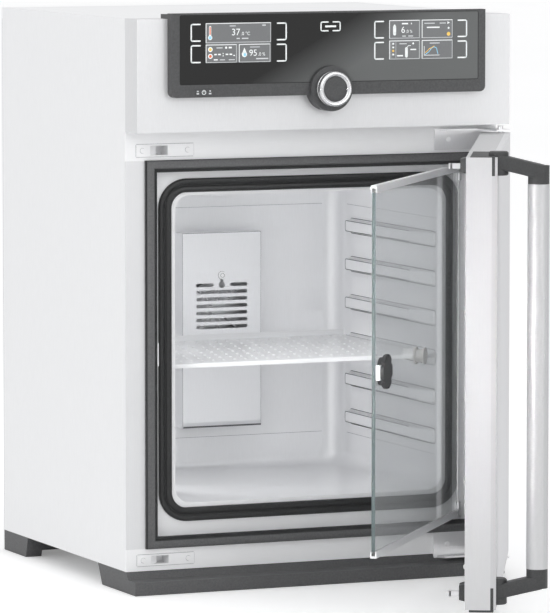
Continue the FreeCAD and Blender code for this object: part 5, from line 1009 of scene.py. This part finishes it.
# Painted shade: a dark line round each rib's foot, and another along its crest behind CREST_START.
for top in RIB_TOPS:
    edge, around_edge = rounded_loop((RIB_Y[1] - RIB_Y[0]) / 2, top - RIB_HEIGHT, top, RIB_CORNER, 6)
    edge = edge + ((RIB_Y[0] + RIB_Y[1]) / 2, 0)
    crest, around_crest = rounded_loop((RIB_Y[1] - RIB_Y[0]) / 2 - RIB_BEVEL, top - RIB_HEIGHT + RIB_BEVEL,
                                       top - RIB_BEVEL, RIB_CORNER - RIB_BEVEL, 6)
    crest = crest + ((RIB_Y[0] + RIB_Y[1]) / 2, 0)
    behind = crest[:, 0] > CREST_START
    line, around_line = crest[behind], around_crest[behind]
    line = np.concatenate([[(CREST_START, line[0, 1])], line, [(CREST_START, line[-1, 1])]])
    around_line = np.concatenate([around_line[:1], around_line, around_line[-1:]])
    for wall in (-1, 1):
        for path, outward, width, depth, closed in (
                (edge, around_edge, 1.1, 0, True), (line, around_line, 0.9, RIB_REACH, False)):
            face = (wall * (chamber_half - depth - 0.12), wall * (chamber_half - depth - 0.02))
            shade_line_parts.append(line_ring(path, outward, width, face, "yz", closed))

# Painted shadow: dark lines down the fan cover's sides and along its top and bottom edges.
fan_low, fan_high = corners_mm("fan_cover")
fan_face = (fan_low[1] - 0.05, fan_low[1] - 0.01)
for side_x in (fan_low[0], fan_high[0] - 0.4):
    shade_line_parts.append(block((side_x, side_x + 0.4), fan_face, (fan_low[2], fan_high[2])))
shade_line_parts.append(block((fan_low[0], fan_high[0]), fan_face, (fan_high[2] - 0.5, fan_high[2])))
shade_line_parts.append(block((fan_low[0] + 1.0, fan_high[0]), fan_face, (fan_low[2], fan_low[2] + 2.2)))

screw_low, screw_high = corners_mm("fan_cover_screw")
screw_centre = ((screw_low[0] + screw_high[0]) / 2, (screw_low[2] + screw_high[2]) / 2)


def round_line(centre, radius, width, face):
    """A round line_ring about a centre (X, Z)."""
    turn = np.linspace(0, 2 * math.pi, 32, endpoint=False)
    circle = np.column_stack([np.cos(turn), np.sin(turn)])
    return line_ring(np.array(centre) + radius * circle, circle, width, face)


# Painted shade: dark rings round the fan cover's screw and its head.
screw_shade_ring = round_line(screw_centre, 4.9, 1.0, (fan_low[1] - 0.08, fan_low[1] - 0.01))
head_shade_ring = round_line(screw_centre, 2.7, 0.5, (screw_low[1] - 0.04, screw_low[1] + 0.3))

GLASS_JOINT = 0.9
glass_half = (glass_high[0] - glass_low[0]) / 2
joint, around_joint = rounded_loop(glass_half, glass_low[2], glass_high[2], 1.5, 4)
joint = joint + ((glass_low[0] + glass_high[0]) / 2, 0)
glass_joint = line_ring(joint, around_joint, GLASS_JOINT, (glass_low[1] - 0.06, glass_low[1] - 0.01))

strike_low, strike_high = corners_mm("strike_plates")
PLATE_WIDTH = 84.5
PLATE_SHEET = 1.0
SCREW_INSET = 9.0
middle_x = strike_low[0] + PLATE_WIDTH / 2
for plate_z in ((strike_low[2], strike_low[2] + 15.5), (strike_high[2] - 17.0, strike_high[2])):
    plate_edge, around_plate = rounded_loop(PLATE_WIDTH / 2, plate_z[0], plate_z[1], 1.2, 4)
    fine_lines.append(line_ring(plate_edge + (middle_x, 0), around_plate, 0.7, (-0.06, -0.01)))
    for screw_x in (middle_x - PLATE_WIDTH / 2 + SCREW_INSET, middle_x + PLATE_WIDTH / 2 - SCREW_INSET):
        screw_face = (-PLATE_SHEET - 0.06, -PLATE_SHEET - 0.01)
        fine_lines.append(round_line((screw_x, sum(plate_z) / 2), 3.3, 0.5, screw_face))
place_piece(joined("liner_sheet_joints", fine_lines, joint_grey), "casing", "polished_stainless")
place_piece(joined("painted_shade_lines", shade_line_parts, slot_shadow), "casing", "polished_stainless")
place_piece(joined("screw_shadow_lines", [screw_shade_ring, head_shade_ring], slot_shadow), "casing", "screw_steel")
place_piece(joined("cockpit_glass_joint", [glass_joint], deep_shadow), "casing", "dark_plastic")

# ---------------------------------------------------------------- stage, light and camera

FLOOR_COLOR = (0.93, 0.93, 0.93)
FLOOR_GLOW = 0.24
FLOOR_REACH = 90.0
FLOOR_LEVEL = -0.0003
floor_material = new_material("pale_floor", FLOOR_COLOR, 0.9)
floor_cloud = object_noise(floor_material, 0.6, 2)
vary_color(floor_material, floor_cloud, FLOOR_COLOR, 0.01)
camera_ray = add_node(floor_material, "ShaderNodeLightPath").outputs["Is Camera Ray"]
camera_glow = add_node(floor_material, "ShaderNodeMath", operation="MULTIPLY")
camera_glow.inputs[1].default_value = FLOOR_GLOW
link(floor_material, camera_ray, camera_glow.inputs[0])
shader_of(floor_material).inputs["Emission Color"].default_value = (1, 1, 1, 1)
link(floor_material, camera_glow.outputs["Value"], shader_of(floor_material).inputs["Emission Strength"])


def wide_floor():
    """A level floor that is finer near the object: places spread out as the cube of even steps."""
    reach = FLOOR_REACH * np.linspace(-1, 1, 15) ** 3
    x, y = np.meshgrid(reach, reach, indexing="ij")
    z = np.full(x.shape, FLOOR_LEVEL)
    return grid_mesh("pale_floor", np.stack([x, y, z], axis=-1), floor_material)


wide_floor()


def area_light(name, place, target, size, power, spread=180.0):
    light = bpy.data.lights.new(name, "AREA")
    light.shape = "RECTANGLE"
    light.size, light.size_y = size
    light.energy = power
    light.spread = math.radians(spread)
    lamp = bpy.data.objects.new(name, light)
    bpy.context.collection.objects.link(lamp)
    lamp.location = place
    lamp.rotation_euler = (Vector(target) - Vector(place)).to_track_quat("-Z", "Y").to_euler()
    return lamp


MIDDLE = (0.0, 0.1, 0.4)
area_light("key_softbox", (-2.6, -3.2, 3.0), MIDDLE, (2.4, 2.4), 26)
area_light("front_softbox", (1.4, -4.2, 1.6), MIDDLE, (2.0, 2.6), 24)
area_light("top_softbox", (0.0, -0.4, 3.4), MIDDLE, (3.0, 3.0), 16)
area_light("door_side_softbox", (-2.9, -1.45, 0.6), (0.27, -0.25, 0.36), (0.4, 0.4), 0.46, 9.0)

# Soft lamps inside the chamber, in its mouth and by its left wall above and below the shelf: the closed door
# hides them.
chamber_middle = (liner_low + liner_high) / 2 * MM
mouth = chamber_front * MM - 0.004
CHAMBER_LAMPS = [
    ("chamber_mouth_softbox", (chamber_middle[0], mouth, chamber_middle[2]), (0.0, 0.30, 0), (0.34, 0.36), 0.26),
]
for name, level in (("chamber_upper_softbox", plate_top + 125), ("chamber_lower_softbox", plate_top - 110)):
    CHAMBER_LAMPS.append((name, (-0.165, mouth + 0.13, level * MM), (0.30, 0.12, 0), (0.12, 0.10), 0.12))
for name, place, way, size, power in CHAMBER_LAMPS:
    chamber_lamp = area_light(name, place, np.array(place) + way, size, power)
    chamber_lamp.visible_camera = False
    chamber_lamp.visible_glossy = False
    chamber_lamp.visible_transmission = False

SKY_LEVELS = (1.0, 0.65)
world = bpy.data.worlds.new("studio")
bpy.context.scene.world = world
world.use_nodes = True
sky_split = add_node(world, "ShaderNodeSeparateXYZ")
link(world, add_node(world, "ShaderNodeTexCoord").outputs["Generated"], sky_split.inputs["Vector"])
sky_choice = add_node(world, "ShaderNodeMix", B=1.0)
link(world, add_node(world, "ShaderNodeLightPath").outputs["Is Camera Ray"], sky_choice.inputs["Factor"])
link(world, map_range(world, sky_split.outputs["X"], (-1, 1), SKY_LEVELS), sky_choice.inputs["A"])
background = world.node_tree.nodes["Background"]
background.inputs["Color"].default_value = (0.97, 0.973, 0.98, 1)
link(world, sky_choice.outputs["Result"], background.inputs["Strength"])

camera_data = bpy.data.cameras.new("camera")
camera = bpy.data.objects.new("camera", camera_data)
bpy.context.collection.objects.link(camera)
camera.location = (-2.9310, -6.6451, 1.0519)
CAMERA_YAW = math.radians(23.385)
CAMERA_PITCH = math.radians(5.252)
camera.rotation_euler = (math.pi / 2 - CAMERA_PITCH, 0, -CAMERA_YAW)
camera_data.lens = 309.36
camera_data.clip_end = 200
bpy.context.scene.camera = camera
bpy.context.scene.view_settings.view_transform = "Standard"
